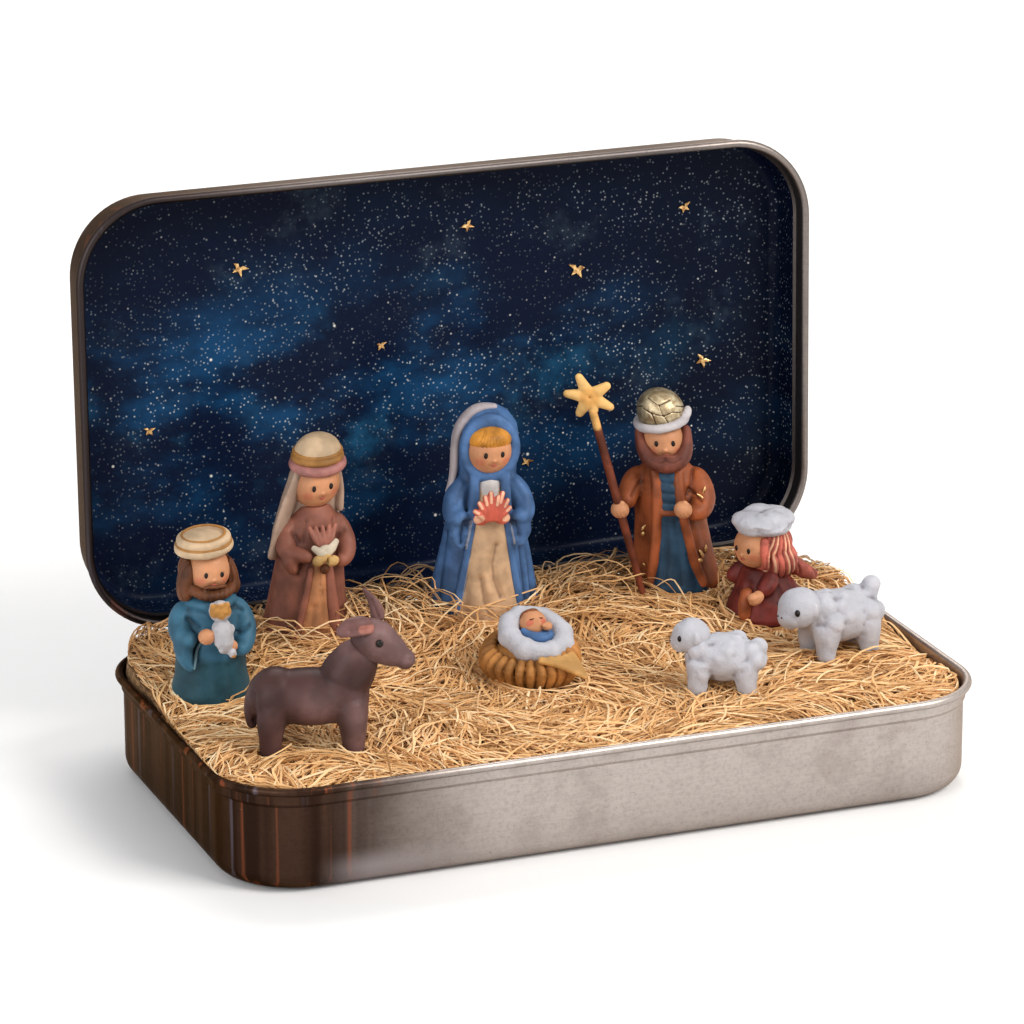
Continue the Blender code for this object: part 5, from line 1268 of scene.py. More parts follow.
# %% [markdown]
# ## The veiled figure
#
# A tall dusty-rose robe that opens in front over an orange-tan skirt. The headdress is a cream dome with
# an ochre band on a mauve brim, and its veil hangs as one broad strap to the elbow. The hands hold out a
# small gift in a folded cloth, below a fan of pleats. The open edges of the robe are rubbed-in coils.

# %% Rose robe and skirt
model("veiled_robe_lump", "veiled_figure", "rose_clay",
    ["veiled_robe", "veiled_sleeve_left", "veiled_sleeve_right"], (0.16, 7), [
        stack(((0.0, 5.2, 4.4, 0.0), (0.9, 5.4, 4.6, 0.0), (4.0, 4.9, 4.2, 0.0), (8.0, 4.35, 3.7, 0.0),
            (11.0, 4.0, 3.4, 0.0), (13.5, 3.6, 3.0, 0.0), (15.3, 2.8, 2.4, 0.0), (16.5, 1.9, 1.8, 0.0))),
        coil(((2.2, 0.2, 14.8), (3.4, -0.9, 13.2), (3.8, -2.6, 11.2), (2.9, -4.0, 10.2), (1.9, -4.5, 10.7)),
            (1.1, 1.3, 1.3, 1.1, 0.75)),
        coil(((-2.3, 0.2, 14.8), (-3.7, -0.9, 13.2), (-3.9, -2.6, 11.5), (-2.5, -4.1, 11.5),
            (-1.3, -4.6, 10.9)), (1.1, 1.3, 1.25, 0.95, 0.75)),
        coil(((-3.5, -2.5, 12.0), (-3.5, -3.2, 10.4), (-2.9, -3.7, 9.0)), (1.2, 1.25, 0.55),
            (1.2, 1.1, 0.5),
            (1, 0, 0)),
        coil(((-1.1, -3.9, 10.0), (-1.7, -4.25, 6.0), (-2.7, -4.35, 0.9)), (0.4, 0.48, 0.45),
            (0.35, 0.42, 0.4),
            (0, -1, 0)),
        coil(((1.1, -3.9, 10.0), (1.6, -4.25, 6.0), (2.4, -4.5, 1.2)), (0.5, 0.75, 0.8), (0.4, 0.5, 0.5),
            (0, -1, 0))],
    grooves=[("front", ((2.2, 12.6), (3.3, 13.5)), 0.28, 0.22),
        ("front", ((-2.4, 12.7), (-3.1, 13.8)), 0.28, 0.2),
        ("front", ((-2.3, 10.2), (-2.5, 9.0)), 0.45, 0.4),
        ("front", ((-1.5, 15.0), (-1.9, 12.6)), 0.25, 0.18),
        ("front", ((2.0, 14.8), (2.2, 12.6)), 0.25, 0.18), ("front", ((-3.9, 8.4), (-4.3, 1.0)), 0.6, 0.16),
        *both_sides(((0.4, 12.0), (0.6, 1.0)), 0.6, 0.2),
        *fan("back", (-2.0, 0.0, 1.8), 9.0, 1.0, 1.3, 0.6, 0.2)], dents=(50, 0.8, 0.05, 4))

model("veiled_skirt_lump", "veiled_figure", "tan_clay", ["veiled_underskirt"], (0.13, 4),
    [stack(((-0.2, 2.4, 2.0, -3.05), (0.9, 2.65, 2.15, -3.05),
        (4.0, 2.15, 1.85, -3.0), (8.0, 1.4, 1.35, -3.05), (10.1, 1.0, 0.9, -3.1)))],
    grooves=[("front", ((0.4, 6.6), (0.9, 3.0), (0.4, 1.0)), 0.4, 0.22),
        ("front", ((-0.7, 5.0), (-1.1, 1.0)), 0.4, 0.2), ("front", ((0.1, 9.4), (0.0, 7.6)), 0.2, 0.15)])
model("veiled_pleats", "veiled_figure", "pleat_clay", [], (0.09, 2),
    [coil(((0.25 + 0.12 * x, -4.3, 11.7), (0.2 + 0.6 * x, -3.95, 13.1),
        (0.2 + x, -3.1, 14.7)), (0.2, 0.36, 0.22)) for x in (-1.7, -0.9, 0.0, 0.9, 1.7)])

# %% Headdress, veil and gift
head("veiled_figure", "veiled_face", (0.0, -0.3, 19.15), 2.95, (0.0, -4.0, 0.0), "veiled_head")
model("veiled_brim_roll", "veiled_figure", "mauve_clay", ["veiled_brim"], (0.13, 5),
    [ring((0.15, -0.2, 21.55), 2.75, 2.7, 0.74, (8, -3, 0), 0.9), ball((0.0, 0.1, 21.8), (2.7, 2.6, 0.8))])
model("veiled_dome", "veiled_figure", "cream_cloth", ["veiled_cap"], (0.13, 5),
    [ball((0.1, 0.0, 22.9), (2.85, 2.8, 2.3)),
        ball((0.1, 0.0, 22.5), (2.95, 2.9, 1.5))], dents=(20, 0.8, 0.05, 5))
model("veiled_dome_bands", "veiled_figure", "ochre_clay", [], (0.10, 2),
    [ring((0.1, -0.05, 22.45), 2.80, 2.76, 0.40, (6, -3, 0)),
        ring((0.1, 0.0, 23.05), 2.78, 2.74, 0.28, (6, -3, 0))])
model("veiled_veil", "veiled_figure", "veil_clay", ["veil"], (0.15, 6), [
    stack(((9.2, 4.0, 1.8, 2.4), (9.9, 4.3, 2.2, 2.2), (13.0, 4.2, 2.5, 1.8), (17.0, 3.6, 2.3, 1.2),
        (20.0, 3.0, 2.2, 0.8), (21.0, 2.6, 2.0, 0.6))),
    coil(((-2.2, -0.9, 21.2), (-3.0, -1.1, 18.8), (-4.2, -1.0, 14.8), (-5.1, -1.0, 10.3)),
        (0.8, 1.3, 1.25, 0.95), (0.5, 0.5, 0.5, 0.5), (0.6, -0.8, 0.1)),
    coil(((2.6, -0.5, 20.8), (3.1, -0.6, 18.6), (3.4, -0.5, 15.2)), (0.4, 0.5, 0.4), (0.35, 0.35, 0.35),
        (-0.6, -0.8, 0))], grooves=[*fan("back", (-2.6, 0.0, 2.6), 19.5, 10.0, 1.2, 0.5, 0.25)])
model("veiled_gift_hands", "veiled_figure", "gift_clay", ["veiled_gift"], (0.09, 3),
    [ball((-0.75, -5.2, 10.95), (0.75, 0.6, 0.68)), ball((1.05, -5.15, 10.75), (0.85, 0.65, 0.68)),
        coil(((-1.3, -5.1, 10.7), (0.0, -5.5, 11.3), (0.6, -5.4, 11.7)), (0.4, 0.45, 0.35))],
    grooves=[("front", ((0.25, 11.4), (0.3, 10.4)), 0.12, 0.2),
        ("front", ((0.9, 11.2), (1.4, 10.9)), 0.08, 0.08)])
model("veiled_gift_cloth", "veiled_figure", "linen_clay", [], (0.08, 3), [
    coil(((-1.5, -4.6, 12.6), (-0.5, -5.2, 11.9), (0.3, -5.5, 11.5)), (0.3, 0.5, 0.3), (0.2, 0.25, 0.2),
        (0, -1, 0)),
    coil(((1.8, -4.4, 13.1), (1.0, -5.0, 12.4), (0.2, -5.5, 11.5)), (0.35, 0.6, 0.3), (0.2, 0.28, 0.2),
        (0, -1, 0)), ball((0.2, -4.9, 12.2), (0.9, 0.45, 0.55))])
model("veiled_gift_bead", "veiled_figure", "brown_hair", [], (0.07, 3),
    [ball((0.2, -5.0, 9.75), (0.58, 0.5, 0.62)), ball((0.15, -5.45, 9.9), (0.2, 0.12, 0.22))])
print("veiled figure done")

# %% [markdown]
# ## The mother
#
# A cream dress under a blue mantle, which is one sheet from the hood to the hem. Its edge is rolled round
# the face and runs down both sides of the opening, and a paler layer shows outside the hood. The sleeves
# are wide bells, one of them hollow, and the joined hands fan their fingers.

# %% Mantle and dress
model("mother_mantle_lump", "mother", "mantle_blue",
    ["mother_mantle", "mother_sleeve_left", "mother_sleeve_right"], (0.165, 9), [
        stack(((0.0, 6.8, 4.6, 0.56), (0.9, 7.0, 4.76, 0.56), (4.5, 6.3, 4.35, 0.5), (9.0, 5.4, 3.8, 0.4),
            (13.0, 4.8, 3.35, 0.4),
            (15.5, 4.3, 3.1, 0.5), (17.2, 3.8, 3.0, 0.7), (18.6, 3.8, 3.2, 0.9), (21.2, 4.1, 3.5, 0.95),
            (23.6, 3.75, 3.2, 0.9), (25.2, 2.6, 2.3, 0.85), (26.0, 1.2, 1.1, 0.84))),
        ring((0.0, -2.0, 21.35), 3.05, 3.45, 0.74, (84, 0, 0)), *[piece for side in (-1, 1) for piece in (
            coil(((2.0 * side, -2.3, 18.8), (1.9 * side, -3.0, 16.9), (2.0 * side, -3.3, 14.2),
                (2.3 * side, -3.4, 11.5), (2.8 * side, -3.4, 8.0), (3.45 * side, -3.55, 4.2),
                (4.0 * side, -3.5, 0.9)),
                (0.6, 0.7, 0.6, 0.45, 0.5, 0.55, 0.5), (0.5, 0.5, 0.45, 0.4, 0.4, 0.4, 0.4), (0, -1, 0)),
            coil(((2.4 * side, -0.6, 17.4), (4.1 * side, -1.2, 15.0), (4.4 * side, -2.9, 12.9),
                (2.7 * side, -4.2, 13.2)), (1.1, 1.45, 1.4, 1.1)),
            coil(((3.6 * side, -3.1, 13.0), (3.8 * side, -3.8, 11.2), (3.5 * side, -4.1, 9.4)),
                (1.3, 1.35, 0.55),
                (1.1, 1.0, 0.4), (0, 1, 0)))]],
    grooves=[("front", ((-2.9, 12.7), (-3.5, 11.4), (-3.5, 10.2)), 0.6, 0.9),
        ("front", ((2.8, 12.4), (3.2, 11.0)), 0.45, 0.45),
        ("front", ((-5.0, 10.6), (-5.7, 5.0), (-6.1, 0.8)), 0.28, 0.4),
        ("front", ((5.0, 10.2), (5.5, 5.0), (5.9, 0.8)), 0.28, 0.4),
        ("front", ((4.0, 8.6), (4.5, 4.5), (4.9, 0.8)), 0.25, 0.3),
        ("front", ((-2.9, 17.0), (-4.0, 15.2)), 0.4, 0.15),
        ("front", ((2.9, 17.0), (4.0, 15.2)), 0.4, 0.15),
        *both_sides(((0.5, 17.0), (0.9, 10.0), (0.6, 1.0)), 0.5, 0.3),
        *fan("back", (-2.5, 0.1, 2.6), 17.5, 1.0, 1.4, 0.6, 0.25)],
    rubbed=[("front", ((-3.55, 0.6), (-3.0, 4.2), (-2.35, 8.0)), 0.10),
        ("front", ((-2.3, 12.7), (-2.9, 9.4)), 0.16), ("front", ((2.5, 12.2), (3.1, 9.2)), 0.10)],
    dents=(60, 0.8, 0.05, 6))
model("mother_outer_layer", "mother", "layer_clay", [], (0.11, 4), [
    coil(((1.2, 0.2, 25.9), (-1.6, 0.1, 26.0), (-3.7, -0.1, 23.6), (-4.0, -0.2, 20.4), (-4.05, -0.4, 17.8),
        (-4.9, -0.7, 15.4)), (0.35, 0.62, 0.62, 0.55, 0.5, 0.3), (0.5, 0.9, 1.0, 0.9, 0.7, 0.4),
        (0, -1, 0))])

model("mother_dress_lump", "mother", "dress_clay", ["mother_dress"], (0.15, 5),
    [stack(((-0.2, 4.4, 3.7, -1.54), (0.8, 4.6, 3.9, -1.54), (4.0, 4.0, 3.5, -1.5),
        (8.0, 3.3, 3.0, -1.45), (12.0, 2.8, 2.7, -1.35), (15.0, 2.3, 2.3, -1.3), (17.3, 1.7, 1.9, -1.3),
        (18.4, 1.3, 1.5, -1.2)))],
    grooves=[("front", ((0.8, 9.6), (0.3, 7.4), (0.5, 5.4), (1.3, 3.4)), 0.5, 0.36),
        ("front", ((-1.1, 5.6), (-0.8, 3.0), (0.0, 1.0)), 0.5, 0.34),
        ("front", ((-0.6, 9.4), (-1.0, 6.6), (-0.2, 4.2)), 0.5, -0.14),
        ("front", ((1.8, 8.0), (1.4, 5.6), (2.3, 2.4)), 0.5, -0.12),
        ("front", ((-2.8, 5.5), (-3.2, 1.0)), 0.5, 0.2)],
    rubbed=[("front", ((-1.0, 18.5), (0.0, 15.8), (1.0, 18.5)), 0.8),
        ("front", ((0.0, 18.0), (0.0, 15.4)), 0.7)], dents=(30, 0.8, 0.05, 7))

# %% Mother's head and hands
head("mother", "mother_face", (0.0, -1.4, 20.95), 2.9, (0.0, 0.0, 6.0), "mother_head")
model("mother_fringe", "mother", "golden_hair", ["mother_hair"], (0.10, 2),
    [ball((0.0, -1.6, 22.4), (2.75, 2.6, 1.7), (-8, 0, 0))],
    grooves=[*[("front", ((x * 0.35, 24.0), (x, 21.3)), 0.09, 0.09) for x in (-2.3, -1.7, -1.1, -0.5, 0.1,
        0.7, 1.3, 1.9, 2.4)]])
TIPS = ((-2.35, 14.6), (-1.75, 15.7), (-1.0, 16.5), (-0.3, 17.0), (0.65, 16.4), (1.25, 16.9), (1.95, 15.9),
    (2.3, 14.9))
fingers = [coil(((0.3 * x, -4.7, 13.0), (0.55 * x, -5.35, 0.5 * (z + 13.4)), (x, -5.3 + 0.12 * abs(x), z)),
    (0.5, 0.46, 0.33))
    for x, z in TIPS]
model("mother_fingers", "mother", "rosy_clay", ["mother_hands"], (0.085, 2),
    fingers + [ball((1.3 * side, -4.6, 13.3), (0.95, 0.7, 0.8)) for side in (-1,
        1)], rubbed=[*[("front", ((x, z), (0.75 * x, 0.55 * z + 6.3)), 0.17) for x, z in TIPS],
            ("front", ((-2.1, 13.3), (-1.5, 13.6)), 0.5), ("front", ((1.6, 13.4), (2.0, 13.4)), 0.4)])
print("mother done")

# %% [markdown]
# ## The king
#
# A navy tunic under a rust coat with heavy front edges and puffed sleeves, a thick smooth beard, and a
# crackled gold cap in a white roll. One hand holds a long staff with a star, the other is held in front.

# %% Coat and tunic
GRIP, FREE_HAND = (-6.05, -5.5, 11.5), (1.65, -5.5, 11.5)
coat = lump("king_coat_lump", [
    stack(((0.0, 5.4, 4.2, 0.0), (0.9, 5.6, 4.37, 0.0), (5.0, 4.95, 3.9, 0.0), (9.0, 4.45, 3.6, 0.0),
        (12.0, 4.3, 3.4, 0.0),
        (14.0, 4.0, 3.1, 0.0), (15.6, 3.1, 2.5, 0.0), (16.4, 2.1, 2.0, 0.0))),
    *[coil(((1.5 * side, -2.3, 15.9), (1.3 * side, -3.2, 14.0), (1.5 * side, -3.7, 10.6),
        (2.3 * side, -3.8, 5.2),
        (3.5 * side, -3.7, 0.9)), (0.6, 0.7, 0.62, 0.62, 0.6), (0.5, 0.5, 0.45, 0.45, 0.4), (0, -1, 0))
        for side in (-1, 1)],
    coil(((-2.5, 0.3, 14.9), (-4.3, -0.9, 13.7), (-5.1, -2.8, 12.2), (-5.4, -4.3, 11.7)),
        (1.15, 1.4, 1.3, 1.1)),
    coil(((2.6, 0.3, 14.9), (4.1, -0.7, 13.5), (4.3, -2.4, 11.4), (3.3, -4.1, 10.6), (2.4, -4.8, 11.2)),
        (1.2, 1.5, 1.55, 1.35, 0.95)),
    coil(((-2.2, -3.3, 10.5), (0.0, -4.15, 10.5), (2.2, -3.3, 10.5)), (0.38, 0.4, 0.38))], 0.16, 7)
press(coat, ("front", ((2.5, 13.2), (4.0, 12.2)), 0.2, 0.28),
    ("front", ((2.3, 12.6), (2.9, 13.8), (3.2, 15.2)), 0.2, 0.22),
    ("front", ((-3.3, 14.0), (-4.4, 12.8)), 0.25, 0.2),
    ("front", ((3.6, 8.8), (4.3, 5.0), (4.8, 1.0)), 0.55, 0.18),
    ("front", ((-3.4, 9.4), (-3.9, 5.0), (-4.5, 1.0)), 0.55, 0.2),
    *both_sides(((0.4, 13.0), (0.5, 1.0)), 0.55, 0.2),
    *fan("back", (-1.8, 0.3, 2.2), 13.0, 1.0, 1.3, 0.55, 0.22))
dimple(coat, 60, 0.8, 0.05, 8)
flecks = [ball(front_of(coat, x, z), (wide, 0.14, high), (0, turn, 0))
    for x, z, wide, high, turn in ((3.9, 12.6, 0.60, 0.16, 40), (4.4, 13.2, 0.16, 0.6, 20),
        (3.4, 5.0, 0.62, 0.26, 65),
        (4.0, 5.4, 0.2, 0.6, 10), (3.2, 4.5, 0.3, 0.3, 0),
        (-3.4, 8.2, 0.55, 0.2, -50),
        (-3.5, 7.4, 0.3, 0.3, 0), (-3.7, 3.6, 0.3, 0.18, 30))]
stand(coat, "king", "rust_clay", "king_coat")

model("king_tunic_lump", "king", "navy_clay", ["king_tunic"], (0.15, 5),
    [stack(((-0.2, 4.2, 3.6, -1.32), (0.9, 4.4, 3.75, -1.32), (4.0, 3.5, 3.2, -1.3),
        (8.0, 2.7, 2.75, -1.4), (10.6, 2.2, 2.55, -1.5), (13.0, 2.3, 2.45, -1.4), (15.3, 2.1, 2.0, -1.2),
        (16.1, 1.6, 1.5, -1.0)))], grooves=[("front", ((-0.6, 9.4), (-0.9, 5.0), (-1.5, 1.6)), 0.4, 0.18),
            ("front", ((0.6, 9.4), (0.8, 5.0), (0.7, 1.6)), 0.4, 0.18),
            ("front", ((1.9, 5.0), (2.5, 1.0)), 0.45, 0.15),
            ("front", ((-2.2, 4.6), (-2.9, 1.0)), 0.45, 0.15),
            ("front", ((-2.0, 14.4), (2.0, 14.0)), 0.26, 0.14),
            ("front", ((-2.0, 13.1), (2.0, 12.8)), 0.26, 0.14),
            ("front", ((-2.0, 11.9), (2.0, 11.6)), 0.26, 0.14)])

# %% King's head, cap and brim
head("king", "king_face", (0.0, -0.4, 18.9), 2.85, (0.0, 0.0, 2.0), "king_head", 0.05)
model("king_beard_lump", "king", "beard_clay", ["king_beard"], (0.14, 4), [
    ball((0.0, 0.6, 18.6), (3.25, 2.8, 3.3)),
    coil(((-2.75, -0.6, 20.9), (-2.95, -1.7, 18.8), (-2.1, -2.95, 17.0), (0.0, -3.6, 16.3),
        (2.1, -2.95, 17.0), (2.95, -1.7, 18.8), (2.75, -0.6, 20.9)), (0.6, 0.7, 0.95, 1.05, 0.95, 0.7, 0.6),
        (0.8, 0.9, 1.0, 1.0, 1.0, 0.9, 0.8)),
    coil(((-1.5, -3.3, 17.75), (-0.7, -3.65, 17.5), (0.0, -3.55, 17.8), (0.7, -3.65, 17.5),
        (1.5, -3.3, 17.75)), (0.2, 0.32, 0.26, 0.32, 0.2))],
    grooves=[("front", ((-1.8, 17.5), (-0.8, 17.1), (0.0, 17.4), (0.9, 17.05), (1.9, 17.5)), 0.09, 0.14)],
    dents=(60, 0.5, 0.05, 9))

cap = lump("king_cap_dome", [ball((-0.1, 0.0, 22.6), (2.95, 2.9, 2.75)),
    ball((-0.3, -0.3, 22.8), (2.6, 2.55, 2.5))], 0.10, 4)
CRACKS = (("front", ((-2.3, 23.4), (-1.3, 22.9), (0.2, 22.6), (1.4, 23.0), (2.4, 22.7))),
    ("front", ((-1.2, 22.9), (-0.7, 21.2))),
    ("front", ((0.3, 22.6), (1.0, 21.2))), ("front", ((-1.5, 24.6), (-0.2, 23.9), (1.2, 24.4))),
    ("front", ((-0.2, 23.9), (0.2, 22.6))),
    *[(view, ((-1.8, 23.6), (0.5, 22.8), (2.0, 23.6))) for view in ("left", "right", "back")])
press(cap, *[(view, points, 0.075, 0.10) for view, points in CRACKS])
dimple(cap, 30, 0.6, 0.04, 10)
gold_leaf = Finish("gold_leaf_clay", (0.5, 0.37, 0.17), 0.34, Metallic=0.6)
where = gold_leaf.place()
leaf = gold_leaf.noise(where, 1.0, 5.0, 0.65)
hollow = gold_leaf.attribute("hollow")
wear_and_painted_light = gold_leaf.mix(leaf.over(0.36, 0.66), (0.30, 0.215, 0.115), (0.60, 0.50, 0.32))
gold_leaf.put(gold_leaf.shader, {"Base Color": gold_leaf.mix(hollow.over(0.006, 0.03), wear_and_painted_light,
    (0.045, 0.022, 0.010)),
    "Roughness": 0.28 + 0.22 * leaf})
gold_leaf.bump(leaf, 0.03)
CLAYS["gold_leaf_clay"] = (gold_leaf, "gold_leaf")
stand(cap, "king", "gold_leaf_clay", "king_cap")
stand(lump("king_gold_flecks", flecks, 0.06, 2), "king", "gold_flake")
model("king_brim_roll", "king", "white_clay", ["king_brim"], (0.13, 4),
    [ring((-0.1, -0.1, 21.35), 2.95, 2.9, 0.62, (6, -9, 0), 0.95),
        coil(((2.5, -1.6, 21.9), (3.2, -0.9, 22.4), (3.25, 0.1, 23.0)), (0.5, 0.58, 0.42))],
    dents=(30, 0.6, 0.05, 11))

# %% Staff, star and hands
STAFF_FOOT, STAFF_TIP = Vector((-4.1, -5.55, 0.35)), Vector((-8.35, -5.55, 24.6))
model("king_staff_roll", "king", "staff_clay", ["king_staff"], (0.10, 3),
    [coil((STAFF_FOOT, STAFF_FOOT.lerp(STAFF_TIP, 0.5), STAFF_TIP), (0.42, 0.56, 0.52))],
    rubbed=[*[(view, ((-9.5, 25.4), (-8.0, 22.7)), 0.9) for view in ("front", "back")]])
CENTRE = Vector((-8.5, -5.55, 25.9))
ARMS = ((113, 3.15), (172, 3.2), (236, 3.0), (284, 2.2), (332, 3.2), (32, 3.1))
arms = []
for angle, reach in ARMS:
    along_arm = Vector((math.cos(math.radians(angle)), 0.0, math.sin(math.radians(angle))))
    arms.append(coil((CENTRE, CENTRE + 0.5 * reach * along_arm, CENTRE + reach * along_arm),
        (1.05, 0.72, 0.42), (0.6, 0.52, 0.36),
        (0, -1, 0)))
model("king_star_lump", "king", "star_clay", ["king_star"], (0.10, 4), arms,
    rubbed=[("front", ((-8.5, 25.9), (-8.5, 25.91)), 1.2)])
for label, centre in (("left", GRIP), ("right", FREE_HAND)):
    mitten("king_palm_" + label, "king", centre, 1.15, (0, -20, 0), ["king_hand_" + label])
print("king done")

# %% [markdown]
# ## The kneeling figure
#
# This one kneels and faces the manger, so the camera sees its side. A crumpled white beret sits over a
# pink-red hair cloth that is scored in long strands, and its tail lies back over the robe.

# %% Kneeler's robe and arms
model("kneeler_robe_lump", "kneeling_figure", "maroon_clay", ["kneeler_robe"], (0.16, 7), [
    stack(((0.0, 4.5, 5.2, 0.0), (0.8, 4.7, 5.4, 0.0), (2.6, 4.2, 4.8, 0.0), (4.4, 3.4, 3.7, -0.2),
        (5.6, 2.8, 2.9, -0.6), (6.6, 1.9, 2.0, -1.0))),
    coil(((2.2, -0.6, 6.4), (3.1, -1.6, 5.2), (3.5, -3.2, 4.2)), (0.9, 1.1, 0.85)),
    coil(((-2.2, -1.0, 6.4), (-3.0, -2.2, 5.4), (-3.0, -3.6, 4.2)), (0.9, 1.1, 0.9)),
    ball((2.4, 1.8, 1.9), (1.9, 3.1, 1.7)), ball((-2.4, 1.8, 1.9), (1.9, 3.1, 1.7))],
    grooves=[("right", ((-0.4, 4.6), (0.2, 2.0), (-0.2, 0.6)), 0.4, 0.25),
        ("right", ((1.6, 4.6), (2.6, 2.4)), 0.45, 0.25),
        ("right", ((-3.2, 3.0), (-3.2, 0.6)), 0.4, 0.2),
        *fan("front", (-0.6, 1.2), 5.0, 1.0, 1.5, 0.5, 0.2),
        ("left", ((0.0, 5.0), (0.8, 1.0)), 0.5, 0.2), *fan("back", (-1.0, 1.2), 4.0, 1.0, 1.3, 0.5, 0.2)],
    dents=(50, 0.7, 0.06, 12))
model("kneeler_forearm", "kneeling_figure", "skin_clay", ["kneeler_arm"], (0.10, 3),
    [coil(((3.4, -2.9, 4.4), (3.8, -4.0, 3.9), (4.0, -4.9, 3.6)),
        (0.72, 0.78, 0.6)), ball((3.85, -4.3, 4.15), (0.7, 0.8, 0.6))])
# Painted shade: the leaning arm is skin in shade, so it is made of the darker rust clay.
model("kneeler_leaning_arm", "kneeling_figure", "rust_clay", [], (0.11, 3),
    [coil(((1.4, -3.6, 4.6), (2.3, -4.6, 3.2), (2.4, -4.7, 0.9)), (0.7, 0.85, 0.7))])

# %% Kneeler's head, hair cloth and beret
head("kneeling_figure", "kneeler_face", (0.0, -1.7, 9.25), 2.7, (0.0, 0.0, 16.0), "kneeler_head")
cloth = lump("kneeler_hair", [
    ball((0.0, 0.1, 9.4), (3.15, 3.0, 2.9)), ball((0.3, 0.7, 7.4), (3.35, 2.9, 2.6)),
    coil(((2.2, -1.9, 11.0), (2.75, -2.1, 9.2), (2.7, -1.9, 6.9)), (0.5, 0.62, 0.4)),
    coil(((1.2, 2.6, 7.0), (1.4, 4.4, 5.4), (0.8, 6.6, 4.4)), (1.0, 1.0, 0.6)),
    coil(((-0.8, 2.4, 6.8), (-0.6, 4.2, 5.2), (-1.3, 6.4, 4.3)), (0.8, 0.9, 0.5))], 0.13, 4)
STRANDS = [((-0.3 + 0.35 * i, 12.0), (-2.1 + 0.80 * i, 8.8), (-2.0 + 0.9 * i, 5.4)) for i in range(7)]
press(cloth, *[(view, points, 0.13, 0.2) for view in ("right", "left") for points in STRANDS],
    *[("back", ((0.35 * i, 12.0), (0.8 * i, 8.0), (0.85 * i, 4.6)), 0.14, 0.2) for i in (-3, -2, -1, 0, 1,
        2, 3)])
paint(cloth, *[("right", ((-0.13 + 0.35 * i, 11.6), (-1.7 + 0.80 * i, 8.8), (-1.55 + 0.9 * i, 6.2)),
    0.13) for i in (0, 1, 3, 4)])
stand(cloth, "kneeling_figure", "hair_cloth", "kneeler_hair_cloth")
model("kneeler_beret_lump", "kneeling_figure", "wool_clay", ["kneeler_beret"], (0.14, 8), [
    ball((0.0, -0.9, 12.1), (3.7, 3.8, 1.5), (-8, 0, 0)), ball((0.2, -2.6, 12.1), (2.5, 1.8, 1.35)),
    ball((0.3, 0.8, 12.6), (2.7, 2.4, 1.45)), ball((1.5, -0.9, 12.6), (2.0, 2.4, 1.35)),
    ball((-1.2, -0.6, 12.8), (2.0, 2.2, 1.25))],
    grooves=[("right", ((-3.4, 12.3), (-2.0, 12.0), (-0.6, 12.4)), 0.3, 0.14),
        ("right", ((0.4, 11.7), (1.8, 12.2)), 0.3, 0.14),
        ("top", ((-1.6, -2.6), (0.0, -1.2), (1.8, -1.6)), 0.4, 0.2),
        ("top", ((0.4, 1.8), (0.2, -0.6)), 0.4, 0.2), ("top", ((2.4, 1.2), (1.2, 0.2)), 0.35, 0.16)],
    dents=(90, 0.5, 0.12, 13))
print("kneeling figure done")

# %% [markdown]
# ## The donkey
#
# One smooth lump of dark mauve-brown clay, on four short legs, with its head low and wedge-shaped. The
# near ear is folded back and pink inside, the far one stands up to a point, and the tail lies on the rump.

# %% Donkey
body = lump("donkey_lump", [
    ball((0.0, 0.3, 7.15), (3.2, 6.9, 3.4)), ball((0.0, -3.0, 7.3), (3.1, 3.6, 3.4)),
    ball((0.0, 4.1, 7.1), (3.2, 3.4, 3.6)),
    *[coil(((0.9 * side, 4.2 * end, 7.2), (1.6 * side, 4.6 * end, 5.2), (1.85 * side, 4.75 * end, 2.8),
        (1.9 * side, 4.7 * end, 0.05)),
        (2.2, 1.85, 1.38, 1.25), None, (0, 1, 0), 0.5) for side in (-1, 1) for end in (-1, 1)],
    coil(((0.0, -2.6, 7.6), (0.0, -4.6, 10.6), (0.0, -6.2, 13.8)), (3.4, 3.0, 2.1), (3.1, 2.5, 1.9),
        (1, 0, 0)),
    coil(((0.0, 6.0, 8.8), (0.0, 7.0, 7.2), (0.0, 7.1, 4.8), (0.0, 6.8, 3.2)), (0.75, 0.8, 0.8, 0.6), None,
        (1, 0, 0))], 0.17, 14)
press(body, *both_sides(((6.5, 8.2), (6.6, 4.4)), 0.3, 0.22),
    *both_sides(((-3.2, 4.0), (-3.0, 2.6)), 0.6, 0.12))
dimple(body, 40, 1.2, 0.07, 14)
co = points_of(body)
# Painted light: lighter patches in side view where light falls on the barrel, shoulder and thigh:
# middle, half widths and strength.
LIT_PATCHES = (((-0.8, 6.4), (2.6, 2.6), 1.0), ((-5.4, 4.0), (1.5, 4.0), 1.0), ((3.6, 3.0), (1.3, 3.5), 0.5))
wear_and_painted_light = np.zeros(len(co))
for (y, z), (long, high), strength in LIT_PATCHES:
    wear_and_painted_light = wear_and_painted_light + strength * np.exp(-((co[:, 1] - y) / long) ** 2 - ((co[:, 2] - z) / high) ** 2)
